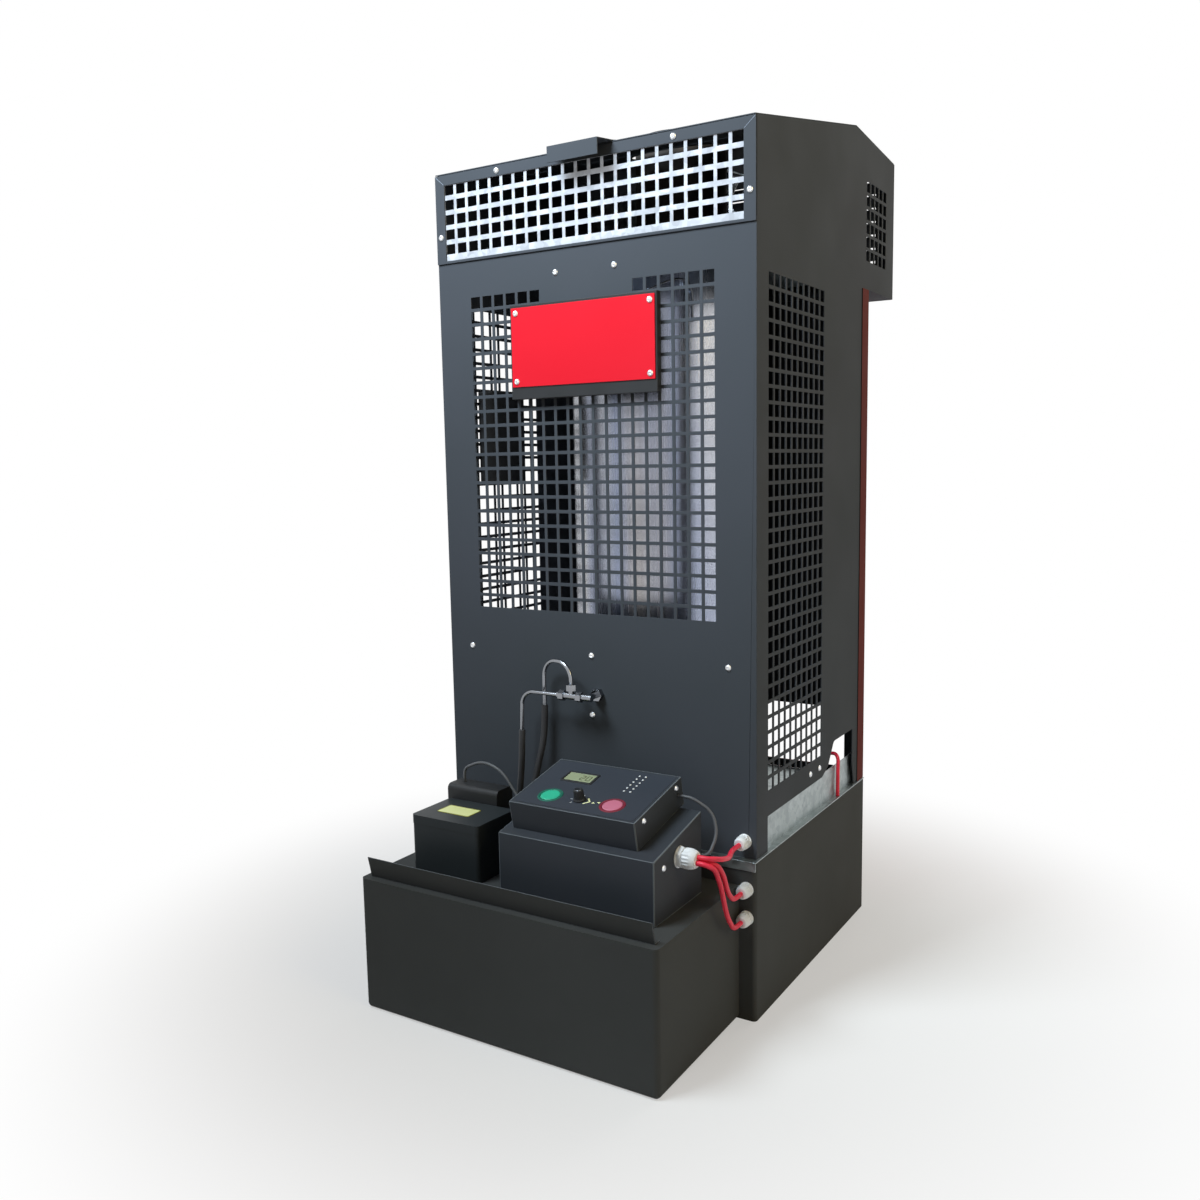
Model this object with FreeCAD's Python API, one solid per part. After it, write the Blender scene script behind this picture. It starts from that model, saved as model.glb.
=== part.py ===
import FreeCAD, Part
import math
import os

from FreeCAD import Placement, Rotation, Vector

# Multi-fuel space heater: a tall sheet-steel cabinet with an oil burner inside, standing on a base,
# with a fuel tank, a fuel pump and a control box on the operator's side.
# Millimetres, +Z up, -Y towards the operator, +X to the operator's right.
# Pieces are drawn with Y = 0 on the cabinet's rear face, and are moved at the end so that
# the origin lies on the floor under the middle of the whole heater.

# Cabinet
cabinet_width = 536.0
cabinet_depth = 463.0
sheet = 1.5
flange = 15.0
rear_top = 1237.0
ridge_setback = 64.0
ridge_rise = 81.0
hood_overhang = 139.0
hood_drop = 16.0
hood_height = 230.0
roof_gap = 0.3
roof_margin = 1.0
top_band = 133.0
touch_gap = 0.3

# Base, tray and tank
base_ledge = 4.0
base_rear = -12.0
base_height = 234.0
base_sheet = 2.0
base_corner = 6.0
intake_slots = 5
intake_slot_width = 180.0
intake_slot_height = 10.0
intake_slot_step = 22.0
intake_slot_bottom = 60.0
tray_sheet = 1.5
tray_upstand = 51.5
tray_ledge = 10.5
tray_lip = 12.0
tank_inset = 26.0
tank_depth = 241.0
tank_height = 199.0
tank_wall = 2.0
tank_edge = 8.0
rim_inset = 10.0
rim_height = 31.0
rim_lean = 7.0
rim_setback = 13.0
rim_foot = 14.0

# Punched fields: square holes in rows and columns, with the least plain sheet left beside and above them
pitch = 22.0
bar = 5.0
rear_field_rise = 283.0
rear_field_beside = 56.0
rear_field_above = 50.0
tongue_columns = 7
tongue_rows = 6
side_columns = 10
side_field_rear = 41.0
side_field_rise = 37.0
side_field_above = 54.0
hood_field_margin = 10.0
hood_field_rise = 46.0
hood_field_above = 50.0
hood_field_front = 40.0
mesh_sheet = 1.0
mesh_bar = 7.0
mesh_upright = 5.0
mesh_foot = 10.0
frame_proud = 2.0
frame_drop = 0.8
frame_bar_bottom = 4.0
frame_bar_above = 12.0
frame_bar_beside = 14.0

# Legs and access cut-out at the foot of each side panel
rear_leg = 40.0
front_leg = 45.0
access_start = 262.0
access_shoulder = 290.0
access_lead_in = 26.0
access_front = 54.0
access_height = 47.0
access_corner = 12.0

# Front panel, hood and louvres
front_return = 30.0
mouth_beside = 33.0
mouth_rise = 14.5
mouth_height = 106.0
outlet_beside = 32.0
outlet_rise = 24.0
outlet_drop = 22.0
louvre_count = 8
louvre_depth = 20.5
louvre_drop = 14.0
louvre_sheet = 1.5
louvre_lap = 9.0

# Lid, handle and hinges
lid_depth = 214.5
lid_overhang = 2.0
handle_width = 104.0
handle_tip_width = 84.0
handle_reach = 25.0
handle_drop = 21.0
handle_foot = 22.0
hinge_spacing = 340.0
hinge_radius = 4.0
hinge_pin_radius = 2.0
hinge_clearance = 0.05
hinge_knuckle = 20.0
hinge_knuckle_gap = 0.4
hinge_leaf = 20.0
hinge_gap = 1.5

# Combustion chamber, burner and flue
chamber_y = 240.0
chamber_radius = 150.0
chamber_wall = 3.0
chamber_headroom = 117.0
chamber_cover = 4.0
flue_edge = 7.0
flue_radius = 75.0
flue_wall = 1.5
flue_drop = 1.5
flue_shoulder = 3.0
flue_clearance = 6.0
hatch_edge = 10.0
hatch_hole = 44.0
hatch_radius = 50.0
hatch_thickness = 4.0
hatch_hinge_reach = 60.0
hatch_hinge_rise = 9.0
hatch_barrel = 5.0
hatch_barrel_width = 24.0
hatch_ear = 5.0
hatch_ear_corner = 4.0
hatch_knob_neck = 5.0
hatch_knob_radius = 12.0
hatch_knob_foot = 14.0
hatch_knob_shoulder = 18.0
hatch_knob_height = 26.0
pot_radius = 120.0
pot_lap = 10.0
pot_rise = 64.5
pot_depth = 80.0
pot_wall = 4.0
leg_inset = 12.0
leg_side = 18.0
leg_wall = 3.0
burner_ring_radius = 86.0
burner_ring_wall = 3.0
burner_ring_height = 68.0
burner_slots = 8
burner_slot_width = 10.0
air_pipe_radius = 29.8
air_pipe_wall = 2.0
air_pipe_rise = 30.0
air_flange_beside = 6.0
air_flange_ends = 8.0

# Combustion blower in the base
blower_drum = 80.0
blower_width = 60.0
blower_wall = 2.0
blower_offset = 55.0
blower_height = 95.0
blower_outlet = 56.0
blower_outlet_rise = 6.0
blower_inlet = 35.0
blower_wheel = 60.0
blower_wheel_gap = 8.0
blower_disc = 2.0
blower_blades = 10
blower_blade = 1.8
blower_blade_height = 22.8
blower_blade_pivot = 12.0
blower_blade_lean = 25.0
blower_shaft = 4.0
blower_shaft_reach = 22.0
blower_motor_radius = 35.0
blower_motor_length = 78.0
blower_motor_bore = 24.0
blower_foot_inset = 12.0
blower_foot_width = 40.0
shaft_clearance = 0.05

# Hot-air fan in the hood throat
fan_plate_setback = 17.0
fan_lift = 3.0
fan_radius = 100.0
fan_tip_gap = 6.0
fan_hub = 32.0
fan_hub_length = 16.0
fan_blades = 5
fan_blade = 1.8
fan_root_sink = 4.0
fan_root_chord = 26.0
fan_root_twist = 34.0
fan_tip_chord = 44.0
fan_tip_twist = 17.0
fan_shaft = 5.0
fan_shaft_length = 34.0
fan_motor_radius = 42.0
fan_motor_length = 70.0
fan_motor_bore = 24.0
fan_posts = 3
fan_post_circle = 118.0
fan_post_radius = 4.0
fan_post_turn = 30.0
spider_ring = 8.0
spider_sheet = 3.0
spider_arm = 12.0

# Rear panel furniture
plate_margin = 3.0
plate_height = 116.0
plate_rise = 18.0
plate_sheet = 1.5
plate_box_width = 250.0
plate_box_drop = 159.0
plate_box_height = 138.0
plate_box_depth = 12.0
plate_screw_inset = 8.0
thermostat_rear = 88.0
thermostat_bottom = 763.0
thermostat_depth = 75.0
thermostat_height = 150.0
thermostat_thickness = 36.0
capillary_radius = 1.5
capillary_columns = 5
capillary_tail = 40.0
capillary_start = 10.0
capillary_rise = 16.0
capillary_top = 18.0
screw_radius = 4.0
screw_head = 2.2
foot_screw_inset = 43.0
foot_screw_drop = 64.0
feed_screw_drop = 33.0
seam_screw_half = 50.0
seam_screw_drop = 33.0
frame_screw_left = -150.0
frame_screw_right = 147.0
frame_screw_rise = 40.0
side_screw_places = (209.0, 249.0)

# Control stand and control box
stand_left = -35.0
stand_inset = 34.0
stand_front = -197.0
stand_back = -60.0
stand_height = 87.0
stand_screw_setback = 26.0
stand_screw_drop = 16.0
panel_tilt = 12.0
box_inset_left = 13.0
box_inset_right = 33.0
box_setback = 17.0
box_depth = 136.0
box_height = 41.0
box_screw_front = 24.0
box_screw_back = 18.0
box_screw_drop = 9.0
control_sheet = 1.5
button_radius = 14.0
button_proud = 1.5
button_crown = 0.6
button_crown_width = 1.2
button_skirt = 1.5
button_stem = 4.0
button_travel = 1.2
button_gap = 0.4
start_u = 27.0
knob_u = 75.0
stop_u = 127.0
control_row = 33.0
knob_radius = 6.5
knob_height = 15.0
knob_skirt = 1.5
knob_skirt_height = 4.0
knob_taper = 0.8
knob_rib = 1.6
knob_rib_proud = 0.8
knob_rib_foot = 3.0
knob_shaft = 3.0
knob_shaft_lift = 3.0
display_u = 41.0
display_v = 90.0
display_width = 46.0
display_length = 24.0
display_thickness = 1.0
light_columns = 2
light_rows = 6
light_u = 122.0
light_v = 74.0
light_step_u = 10.0
light_step_v = 9.0
light_radius = 1.6
light_proud = 0.8
board_height = 24.0
board_thickness = 1.6
board_margin = 10.0
board_post_inset = 16.0
board_post_radius = 3.0
switch_height = 9.0
switch_width = 14.0
selector_radius = 8.0
selector_floor = 2.0

# Pump, fittings, pipes and leads
pump_inset = 47.0
pump_width = 122.0
pump_front = -190.0
pump_depth = 90.0
pump_height = 72.0
pump_lid_height = 13.0
pump_lid_inset = 0.4
pump_corner = 6.0
motor_cover_lap = 5.0
motor_cover_width = 94.0
motor_cover_depth = 40.0
motor_cover_height = 107.0
motor_cover_corner = 8.0
suction_radius = 5.0
suction_lift = 16.0
strainer_radius = 14.0
strainer_height = 34.0
filler_x = 130.0
filler_y = -36.0
filler_radius = 16.0
filler_wall = 2.0
filler_height = 20.0
cap_radius = 20.0
cap_height = 21.0
cap_clearance = 0.3
cap_lift = 6.0
cap_rib_length = 32.0
cap_rib_width = 6.0
cap_rib_height = 7.0
main_gland_y = -128.0
main_gland_rise = 73.0
main_gland_radius = 14.0
main_gland_length = 28.0
small_gland_inset = 14.0
small_gland_upper_inset = 18.0
small_gland_drops = (81.0, 39.0, -26.0)
small_gland_radius = 10.0
small_gland_length = 20.0
gland_stub = 0.62
gland_stub_length = 3.0
lead_radius = 3.4
thin_lead_radius = 2.2
side_lead_setback = 24.0
feed_x = 12.0
feed_drop = 122.0
feed_y = -30.0
feed_body = 4.5
feed_swell = 0.8
feed_end = 2.0
feed_stub = 12.0
feed_left = -42.0
feed_branch_x = -18.0
feed_branch_height = 18.0
feed_nut = 14.0
feed_nut_length = 9.0
feed_left_nut = 8.0
feed_middle_nut = 15.0
feed_branch_nut = 13.0
bulkhead_nut = 17.0
pipe_radius = 3.0
pipe_bend = 22.0
loop_bend = 27.0
loop_setback = 14.0
loop_reach = 58.0
loop_rise = 50.0
loop_fall = 22.0
feed_pipe_reach = 32.0
feed_pipe_fall = 62.0
burner_feed_reach = 40.0
burner_feed_rise = 45.0
hose_radius = 5.0
hose_feet = (-120.0, -98.0)
nipple_height = 14.0
nipple_radius = 6.5

# Heights and depths that follow from the sizes above
half_width = cabinet_width / 2
inner_half = half_width - sheet
ridge_depth = cabinet_depth - ridge_setback
ridge_height = rear_top + ridge_rise
hood_reach = cabinet_depth + hood_overhang
hood_top = ridge_height - hood_drop
hood_bottom = hood_top - hood_height
rear_seam = rear_top - top_band
frame_top = rear_top - frame_drop
roof_slope = (ridge_height - rear_top) / ridge_depth
hood_slope = (hood_top - ridge_height) / (hood_reach - ridge_depth)
base_width = cabinet_width + 2 * base_ledge
tray_top = base_height + tray_sheet
panel_foot = tray_top + tray_upstand
tank_width = base_width - 2 * tank_inset
tank_front = base_rear
tank_rear = tank_front - tank_depth
rim_width = tank_width - 2 * rim_inset
origin_shift = -(hood_reach + tank_rear) / 2

# Punched fields that follow
hole = pitch - bar
rear_columns = int((cabinet_width - 2 * rear_field_beside + bar) // pitch)
rear_field_bottom = panel_foot + rear_field_rise
rear_rows = int((rear_seam - rear_field_above - rear_field_bottom + bar) // pitch)
rear_field_top = rear_field_bottom + rear_rows * pitch - bar
side_field_bottom = panel_foot + side_field_rise
side_rows = int((rear_seam - side_field_above - side_field_bottom + bar) // pitch)
hood_columns = int((hood_overhang + hood_field_margin - hood_field_front + bar) // pitch)
hood_rows = int((hood_height - hood_field_rise - hood_field_above + bar) // pitch)
hood_field_bottom = hood_bottom + hood_field_rise
mesh_columns = int((cabinet_width - 2 * frame_bar_beside + mesh_upright) // pitch)
mesh_rows = int((frame_top - frame_bar_above - rear_seam - frame_bar_bottom - mesh_foot + mesh_bar) // pitch)

# Openings, burner and furniture that follow
mouth_width = cabinet_width - 2 * mouth_beside
mouth_bottom = tray_top + mouth_rise
outlet_width = cabinet_width - 2 * outlet_beside
outlet_bottom = hood_bottom + outlet_rise
outlet_height = hood_height - outlet_rise - outlet_drop
chamber_top = rear_top - chamber_headroom
flue_offset = chamber_radius - flue_radius - flue_edge
flue_top = ridge_height - flue_drop
hatch_offset = -(chamber_radius - hatch_radius - hatch_edge)
pot_flange = chamber_radius + pot_lap
pot_floor = tray_top + pot_rise
chamber_bottom = pot_floor + pot_depth
leg_radius = pot_flange - leg_inset
air_pipe_top = pot_floor + air_pipe_rise
blower_outlet_top = blower_height + blower_drum + blower_outlet_rise
fan_height = hood_bottom + hood_height / 2 + fan_lift
plate_width = plate_box_width - 2 * plate_margin
plate_box_bottom = rear_field_top - plate_box_drop
plate_bottom = plate_box_bottom + plate_rise
stand_right = tank_width / 2 - stand_inset
box_left = stand_left + box_inset_left
box_right = stand_right - box_inset_right
main_gland_z = tank_height + main_gland_rise
small_gland_x = base_width / 2 - small_gland_inset
small_gland_upper_x = half_width - small_gland_upper_inset
small_gland_heights = [base_height - drop for drop in small_gland_drops]
feed_z = rear_field_bottom - feed_drop
pump_left = pump_inset - tank_width / 2
motor_cover_left = pump_left - motor_cover_lap
suction_x = motor_cover_left + motor_cover_width / 2
suction_y = pump_front + pump_depth + motor_cover_depth / 2
side_lead_x = base_width / 2 - tray_ledge / 2
side_lead_y = access_shoulder + access_lead_in + side_lead_setback

pieces = {}


# Shape helpers

def block(x_range, y_range, z_range):
    corner_point = Vector(x_range[0], y_range[0], z_range[0])
    return Part.makeBox(x_range[1] - x_range[0], y_range[1] - y_range[0], z_range[1] - z_range[0],
                        corner_point)


def rounded_corner(before, point, after, reach):
    """The arc that rounds a corner, from reach before it to reach after it, and its radius."""
    back = (before - point).normalize()
    ahead = (after - point).normalize()
    half = back.getAngle(ahead) / 2
    radius = reach * math.tan(half)
    inward = (back + ahead).normalize()
    middle = point + inward * (radius / math.sin(half) - radius)
    return Part.Arc(point + back * reach, middle, point + ahead * reach).toShape(), radius


def outline(points, to_space):
    """Closed wire through 2-D points; a third number in a point rounds that corner."""
    places = [to_space(point[0], point[1]) for point in points]
    edges = []
    loose_end = None
    first_end = None
    for index, point in enumerate(points):
        radius = point[2] if len(point) > 2 else 0.0
        before, here, after = places[index - 1], places[index], places[(index + 1) % len(points)]
        if radius > 0:
            half = (before - here).getAngle(after - here) / 2
            arc, _ = rounded_corner(before, here, after, radius / math.tan(half))
            start, end = arc.Vertexes[0].Point, arc.Vertexes[1].Point
        else:
            arc, start, end = None, here, here
        if loose_end is not None:
            edges.append(Part.makeLine(loose_end, start))
        else:
            first_end = start
        if arc is not None:
            edges.append(arc)
        loose_end = end
    edges.append(Part.makeLine(loose_end, first_end))
    return Part.Wire(edges)


def prism_x(points, x_range):
    """Solid with a (Y, Z) outline, between two X values."""
    wire = outline(points, lambda a, b: Vector(x_range[0], a, b))
    return Part.Face(wire).extrude(Vector(x_range[1] - x_range[0], 0, 0))


def prism_z(points, z_range):
    """Solid with an (X, Y) outline, between two Z values."""
    wire = outline(points, lambda a, b: Vector(a, b, z_range[0]))
    return Part.Face(wire).extrude(Vector(0, 0, z_range[1] - z_range[0]))


def rod(start, end, radius):
    start = Vector(*start)
    direction = Vector(*end) - start
    return Part.makeCylinder(radius, direction.Length, start, direction)


def ring(start, end, outer, inner):
    return rod(start, end, outer).cut(rod(start, end, inner))


def turned(profile, centre, axis):
    """Revolve an outline of (radius, height) points about an axis through a centre."""
    wire = outline(profile, lambda a, b: Vector(a, 0, b))
    solid = Part.Face(wire).revolve(Vector(0, 0, 0), Vector(0, 0, 1), 360)
    solid.Placement = Placement(Vector(*centre), Rotation(Vector(0, 0, 1), Vector(*axis)))
    return solid


def hexagon(across_flats, start, end):
    start = Vector(*start)
    direction = Vector(*end) - start
    reach = across_flats / math.sqrt(3)
    points = [(reach * math.cos(math.radians(60 * i)),
               reach * math.sin(math.radians(60 * i))) for i in range(6)]
    solid = prism_z(points, (0, direction.Length))
    solid.Placement = Placement(start, Rotation(Vector(0, 0, 1), direction))
    return solid


def tube(name, points, radius, bend=0.0):
    """Round bar along straight runs and tangent arcs, which without a bend are as large as the runs allow."""
    route = [Vector(*point) for point in points]
    edges = []
    radii = []
    loose_end = route[0]
    for before, point, after in zip(route, route[1:], route[2:]):
        if bend > 0:
            half = (before - point).getAngle(after - point) / 2
            reach = bend / math.tan(half)
        else:
            reach = 0.45 * min((before - point).Length, (after - point).Length)
        arc, arc_radius = rounded_corner(before, point, after, reach)
        edges.append(Part.makeLine(loose_end, arc.Vertexes[0].Point))
        edges.append(arc)
        radii.append(round(arc_radius, 1))
        loose_end = arc.Vertexes[1].Point
    edges.append(Part.makeLine(loose_end, route[-1]))
    path = Part.Wire(edges)
    section = Part.Wire(Part.makeCircle(radius, route[0], route[1] - route[0]))
    solid = path.makePipeShell([section], True, False)
    share = solid.Volume / (math.pi * radius ** 2 * path.Length)
    print(f"{name}: length {path.Length:.1f}, bend radii {radii}, "
          f"volume over section times length {share:.4f}")
    return solid


def fused(shapes):
    return shapes[0].multiFuse(shapes[1:]).removeSplitter()


def group(shapes):
    return Part.makeCompound(shapes)


def mirrored(shape):
    return shape.mirror(Vector(0, 0, 0), Vector(1, 0, 0))


def both_hands(name, shape):
    pieces[name + "_right"] = shape
    pieces[name + "_left"] = mirrored(shape)


def roof_z(y):
    """Height of the cabinet's upper edge at a distance from the rear face."""
    if y <= ridge_depth:
        return rear_top + roof_slope * y
    return ridge_height + hood_slope * (y - ridge_depth)


def roof_strip(y_values, low, high):
    """Outline of a sheet that follows the upper edge, between two heights above it."""
    upper = [(y, roof_z(y) + high) for y in y_values]
    lower = [(y, roof_z(y) + low) for y in reversed(y_values)]
    return upper + lower


def field_length(count, between=bar):
    return count * pitch - between


# Base, tray and tank

def base_housing():
    half = base_width / 2
    front = cabinet_depth

    def shell(inset, z_range):
        low, high, rear, far = -half + inset, half - inset, base_rear + inset, front - inset
        rounding = base_corner - inset
        corners = [(low, rear), (high, rear), (high, far), (low, far)]
        return prism_z([(x, y, rounding) for x, y in corners], z_range)

    housing = shell(0, (0, base_height)).cut(shell(base_sheet, (base_sheet, base_height)))
    for index in range(intake_slots):
        low = intake_slot_bottom + index * intake_slot_step
        slot = block((-intake_slot_width / 2, intake_slot_width / 2), (front - base_sheet, front),
                     (low, low + intake_slot_height))
        housing = housing.cut(slot)
    for height in small_gland_heights[:2]:
        hole_radius = small_gland_radius * gland_stub + touch_gap
        inside = base_rear + base_sheet
        housing = housing.cut(rod((small_gland_x, base_rear, height), (small_gland_x, inside, height),
                                  hole_radius))
    return housing


def drip_tray():
    half = base_width / 2
    wall = half - tray_ledge
    plate = block((-half, half), (base_rear, cabinet_depth), (base_height, tray_top))
    lip = block((-half, half), (base_rear - tray_sheet, base_rear), (base_height - tray_lip, tray_top))
    walls = []
    for side in (-1, 1):
        inner, outer = sorted((side * wall, side * (wall - tray_sheet)))
        y_range = (2 * sheet + touch_gap, cabinet_depth - touch_gap)
        walls.append(block((inner, outer), y_range, (tray_top, panel_foot)))
    tray = fused([plate, lip] + walls)
    pipe_hole = rod((0, chamber_y, base_height), (0, chamber_y, tray_top), air_pipe_radius + touch_gap)
    lead_foot, lead_top = (side_lead_x, side_lead_y, base_height), (side_lead_x, side_lead_y, tray_top)
    return tray.cut(pipe_hole).cut(rod(lead_foot, lead_top, lead_radius + touch_gap))


def fuel_tank():
    half = tank_width / 2
    outer = block((-half, half), (tank_rear, tank_front), (0, tank_height))
    rounded = []
    for edge in outer.Edges:
        centre = edge.CenterOfMass
        at_rear = abs(centre.y - tank_rear) < 0.1
        at_floor = abs(centre.z) < 0.1
        at_side = abs(abs(centre.x) - half) < 0.1
        if (at_rear and at_side) or (at_floor and at_rear) or (at_floor and at_side):
            rounded.append(edge)
    outer = outer.makeFillet(tank_edge, rounded)
    inner = block((-half + tank_wall, half - tank_wall), (tank_rear + tank_wall, tank_front - tank_wall),
                  (tank_wall, tank_height - tank_wall))
    inner = inner.makeFillet(tank_edge - tank_wall, [inner.Edges[i] for i in vertical_edges(inner)])
    tank = outer.cut(inner)
    roof = (tank_height - tank_wall, tank_height)
    for x, y, radius in ((filler_x, filler_y, filler_radius - filler_wall),
                         (suction_x, suction_y, suction_radius + touch_gap)):
        tank = tank.cut(rod((x, y, roof[0]), (x, y, roof[1]), radius))
    return tank


def vertical_edges(shape):
    chosen = []
    for index, edge in enumerate(shape.Edges):
        ends = [vertex.Point for vertex in edge.Vertexes]
        if len(ends) == 2 and abs(ends[0].x - ends[1].x) < 0.01 and abs(ends[0].y - ends[1].y) < 0.01:
            chosen.append(index)
    return chosen


def tank_rim():
    foot_rear = tank_rear + rim_setback
    lean_top = foot_rear - rim_lean
    top = tank_height + rim_height
    profile = [(foot_rear, tank_height), (foot_rear + rim_foot, tank_height),
               (foot_rear + rim_foot, tank_height + sheet), (foot_rear + sheet, tank_height + sheet),
               (lean_top + sheet, top), (lean_top, top)]
    return prism_x(profile, (-rim_width / 2, rim_width / 2))


# Cabinet panels

def side_panel():
    """Right-hand side: roof line, hood, punched-window opening, legs and access cut-out, with bent edges."""
    access_end = cabinet_depth - access_front
    leg = cabinet_depth - front_leg
    profile = [(sheet, tray_top), (sheet, roof_z(sheet)), (ridge_depth, ridge_height), (hood_reach, hood_top),
               (hood_reach, hood_bottom), (cabinet_depth, hood_bottom), (cabinet_depth, tray_top),
               (leg, tray_top),
               (access_end, panel_foot - access_corner), (access_end, panel_foot + access_height),
               (access_shoulder + access_lead_in, panel_foot + access_height, access_corner),
               (access_shoulder, panel_foot + access_corner), (access_start, panel_foot),
               (rear_leg, panel_foot),
               (rear_leg, tray_top)]
    panel = prism_x(profile, (inner_half, half_width))
    window = block((inner_half, half_width), side_field_y(), side_field_z())
    hood_window = block((inner_half, half_width), hood_field_y(), hood_field_z())
    panel = panel.cut(window).cut(hood_window)
    edge_y = [flange * 2, ridge_depth, hood_reach - sheet]
    top_edge = prism_x(roof_strip(edge_y, -sheet, 0), (inner_half - flange, inner_half))
    rear_edge = block((inner_half - flange, inner_half), (sheet, 2 * sheet),
                      (panel_foot + flange, rear_seam - flange))
    return fused([panel, top_edge, rear_edge])


def side_field_y():
    return side_field_rear, side_field_rear + field_length(side_columns)


def side_field_z():
    return side_field_bottom, side_field_bottom + field_length(side_rows)


def hood_field_y():
    start = cabinet_depth - hood_field_margin
    return start, start + field_length(hood_columns)


def hood_field_z():
    return hood_field_bottom, hood_field_bottom + field_length(hood_rows)


def crossed_bars(y_range, z_range, columns, rows):
    """Field of square holes in a side: upright bars in the sheet's outer half, level bars in the inner."""
    middle = half_width - sheet / 2
    bars = []
    for index in range(1, columns):
        start = y_range[0] + index * pitch - bar
        bars.append(block((middle, half_width), (start, start + bar), z_range))
    for index in range(1, rows):
        start = z_range[0] + index * pitch - bar
        bars.append(block((inner_half, middle), y_range, (start, start + bar)))
    return group(bars)


def rear_panel():
    """Flat rear sheet with a window of punched square holes; a solid tongue carries the plate box."""
    def square(x, z, width, height):
        corners = [(x, z), (x + width, z), (x + width, z + height), (x, z + height)]
        return outline(corners, lambda a, b: Vector(a, 0, b))

    first_x = -field_length(rear_columns) / 2
    tongue_first = (rear_columns - tongue_columns) // 2
    wires = [square(-half_width, tray_top, cabinet_width, rear_seam - tray_top)]
    for column in range(rear_columns):
        for row in range(rear_rows):
            beside_tongue = column < tongue_first or column >= tongue_first + tongue_columns
            if beside_tongue or row < rear_rows - tongue_rows:
                wires.append(square(first_x + column * pitch, rear_field_bottom + row * pitch, hole, hole))
    panel = Part.makeFace(wires, "Part::FaceMakerBullseye").extrude(Vector(0, sheet, 0))
    panel = panel.cut(rod((feed_x, 0, feed_z), (feed_x, sheet, feed_z), feed_body + touch_gap))
    gland_z = small_gland_heights[2]
    gland_hole = rod((small_gland_upper_x, 0, gland_z), (small_gland_upper_x, sheet, gland_z),
                     small_gland_radius * gland_stub + touch_gap)
    return panel.cut(gland_hole)


def mesh_z():
    bottom = rear_seam + frame_bar_bottom + mesh_foot
    return bottom, bottom + field_length(mesh_rows, mesh_bar)


def top_grille_frame():
    """Folded frame round the top mesh, a little proud of the rear panel."""
    face = (-frame_proud, -frame_proud + sheet)
    low, high = mesh_z()
    half_opening = field_length(mesh_columns, mesh_upright) / 2
    plate = block((-half_width, half_width), face, (rear_seam, frame_top))
    plate = plate.cut(block((-half_opening, half_opening), face, (low - mesh_foot, high)))
    sill = block((-half_width, half_width), (face[1], sheet), (rear_seam, rear_seam + sheet))
    top_fold = block((-inner_half, inner_half), (face[1], flange + frame_proud),
                     (frame_top - sheet, frame_top))
    return fused([plate, sill, top_fold])


def top_grille_mesh():
    """Bright mesh behind the frame: upright flat bars in front, level flat bars behind."""
    front = -frame_proud + sheet
    middle = front + mesh_sheet / 2
    back = front + mesh_sheet
    low, high = mesh_z()
    half_field = field_length(mesh_columns, mesh_upright) / 2
    ends = (-half_field - mesh_upright, half_field + mesh_upright)
    bars = [block(ends, (middle, back), (low - mesh_foot, low))]
    for index in range(mesh_columns + 1):
        start = ends[0] + index * pitch
        bars.append(block((start, start + mesh_upright), (front, middle), (low - mesh_foot, high + mesh_bar)))
    for index in range(1, mesh_rows + 1):
        start = low - mesh_bar + index * pitch
        bars.append(block(ends, (middle, back), (start, start + mesh_bar)))
    return group(bars)


def front_panel():
    outer = half_width + sheet
    face = (cabinet_depth, cabinet_depth + sheet)
    z_range = (tray_top, hood_bottom - touch_gap)
    panel = block((-outer, outer), face, z_range)
    mouth = block((-mouth_width / 2, mouth_width / 2), face, (mouth_bottom, mouth_bottom + mouth_height))
    returns = []
    for side in (-1, 1):
        low, high = sorted((side * half_width, side * outer))
        returns.append(block((low, high), (cabinet_depth - front_return, cabinet_depth), z_range))
    return fused([panel.cut(mouth)] + returns)


def hood_front():
    front = (hood_reach - sheet, hood_reach)
    face = block((-inner_half, inner_half), front, (hood_bottom, hood_top - sheet))
    outlet = block((-outlet_width / 2, outlet_width / 2), front,
                   (outlet_bottom, outlet_bottom + outlet_height))
    floor = block((-inner_half, inner_half), (cabinet_depth + sheet, hood_reach),
                  (hood_bottom, hood_bottom + sheet))
    return fused([face.cut(outlet), floor])


def outlet_louvres():
    front = hood_reach - sheet
    step = outlet_height / louvre_count
    half = outlet_width / 2 + louvre_lap
    blades = []
    for index in range(louvre_count):
        low = outlet_bottom + index * step
        high = low + louvre_drop
        back = front - louvre_depth
        profile = [(front, low), (front, low + louvre_sheet), (back, high + louvre_sheet), (back, high)]
        blades.append(prism_x(profile, (-half, half)))
    return group(blades)


def roof_panel():
    """Fixed front roof, folded over the ridge and down to the hood, with the flue opening."""
    start = lid_depth + 2 * hinge_gap
    half = half_width - roof_margin
    roof = prism_x(roof_strip([start, ridge_depth, hood_reach], roof_gap, roof_gap + sheet), (-half, half))
    flue_y = chamber_y + flue_offset
    opening = rod((0, flue_y, rear_top), (0, flue_y, ridge_height + flange), flue_radius + flue_clearance)
    return roof.cut(opening)


# Lid with its handle and hinges

def lid():
    half = half_width - roof_margin
    return prism_x(roof_strip([-lid_overhang, lid_depth], roof_gap, roof_gap + sheet), (-half, half))


def lid_top(y):
    return roof_z(y) + roof_gap + sheet


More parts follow.
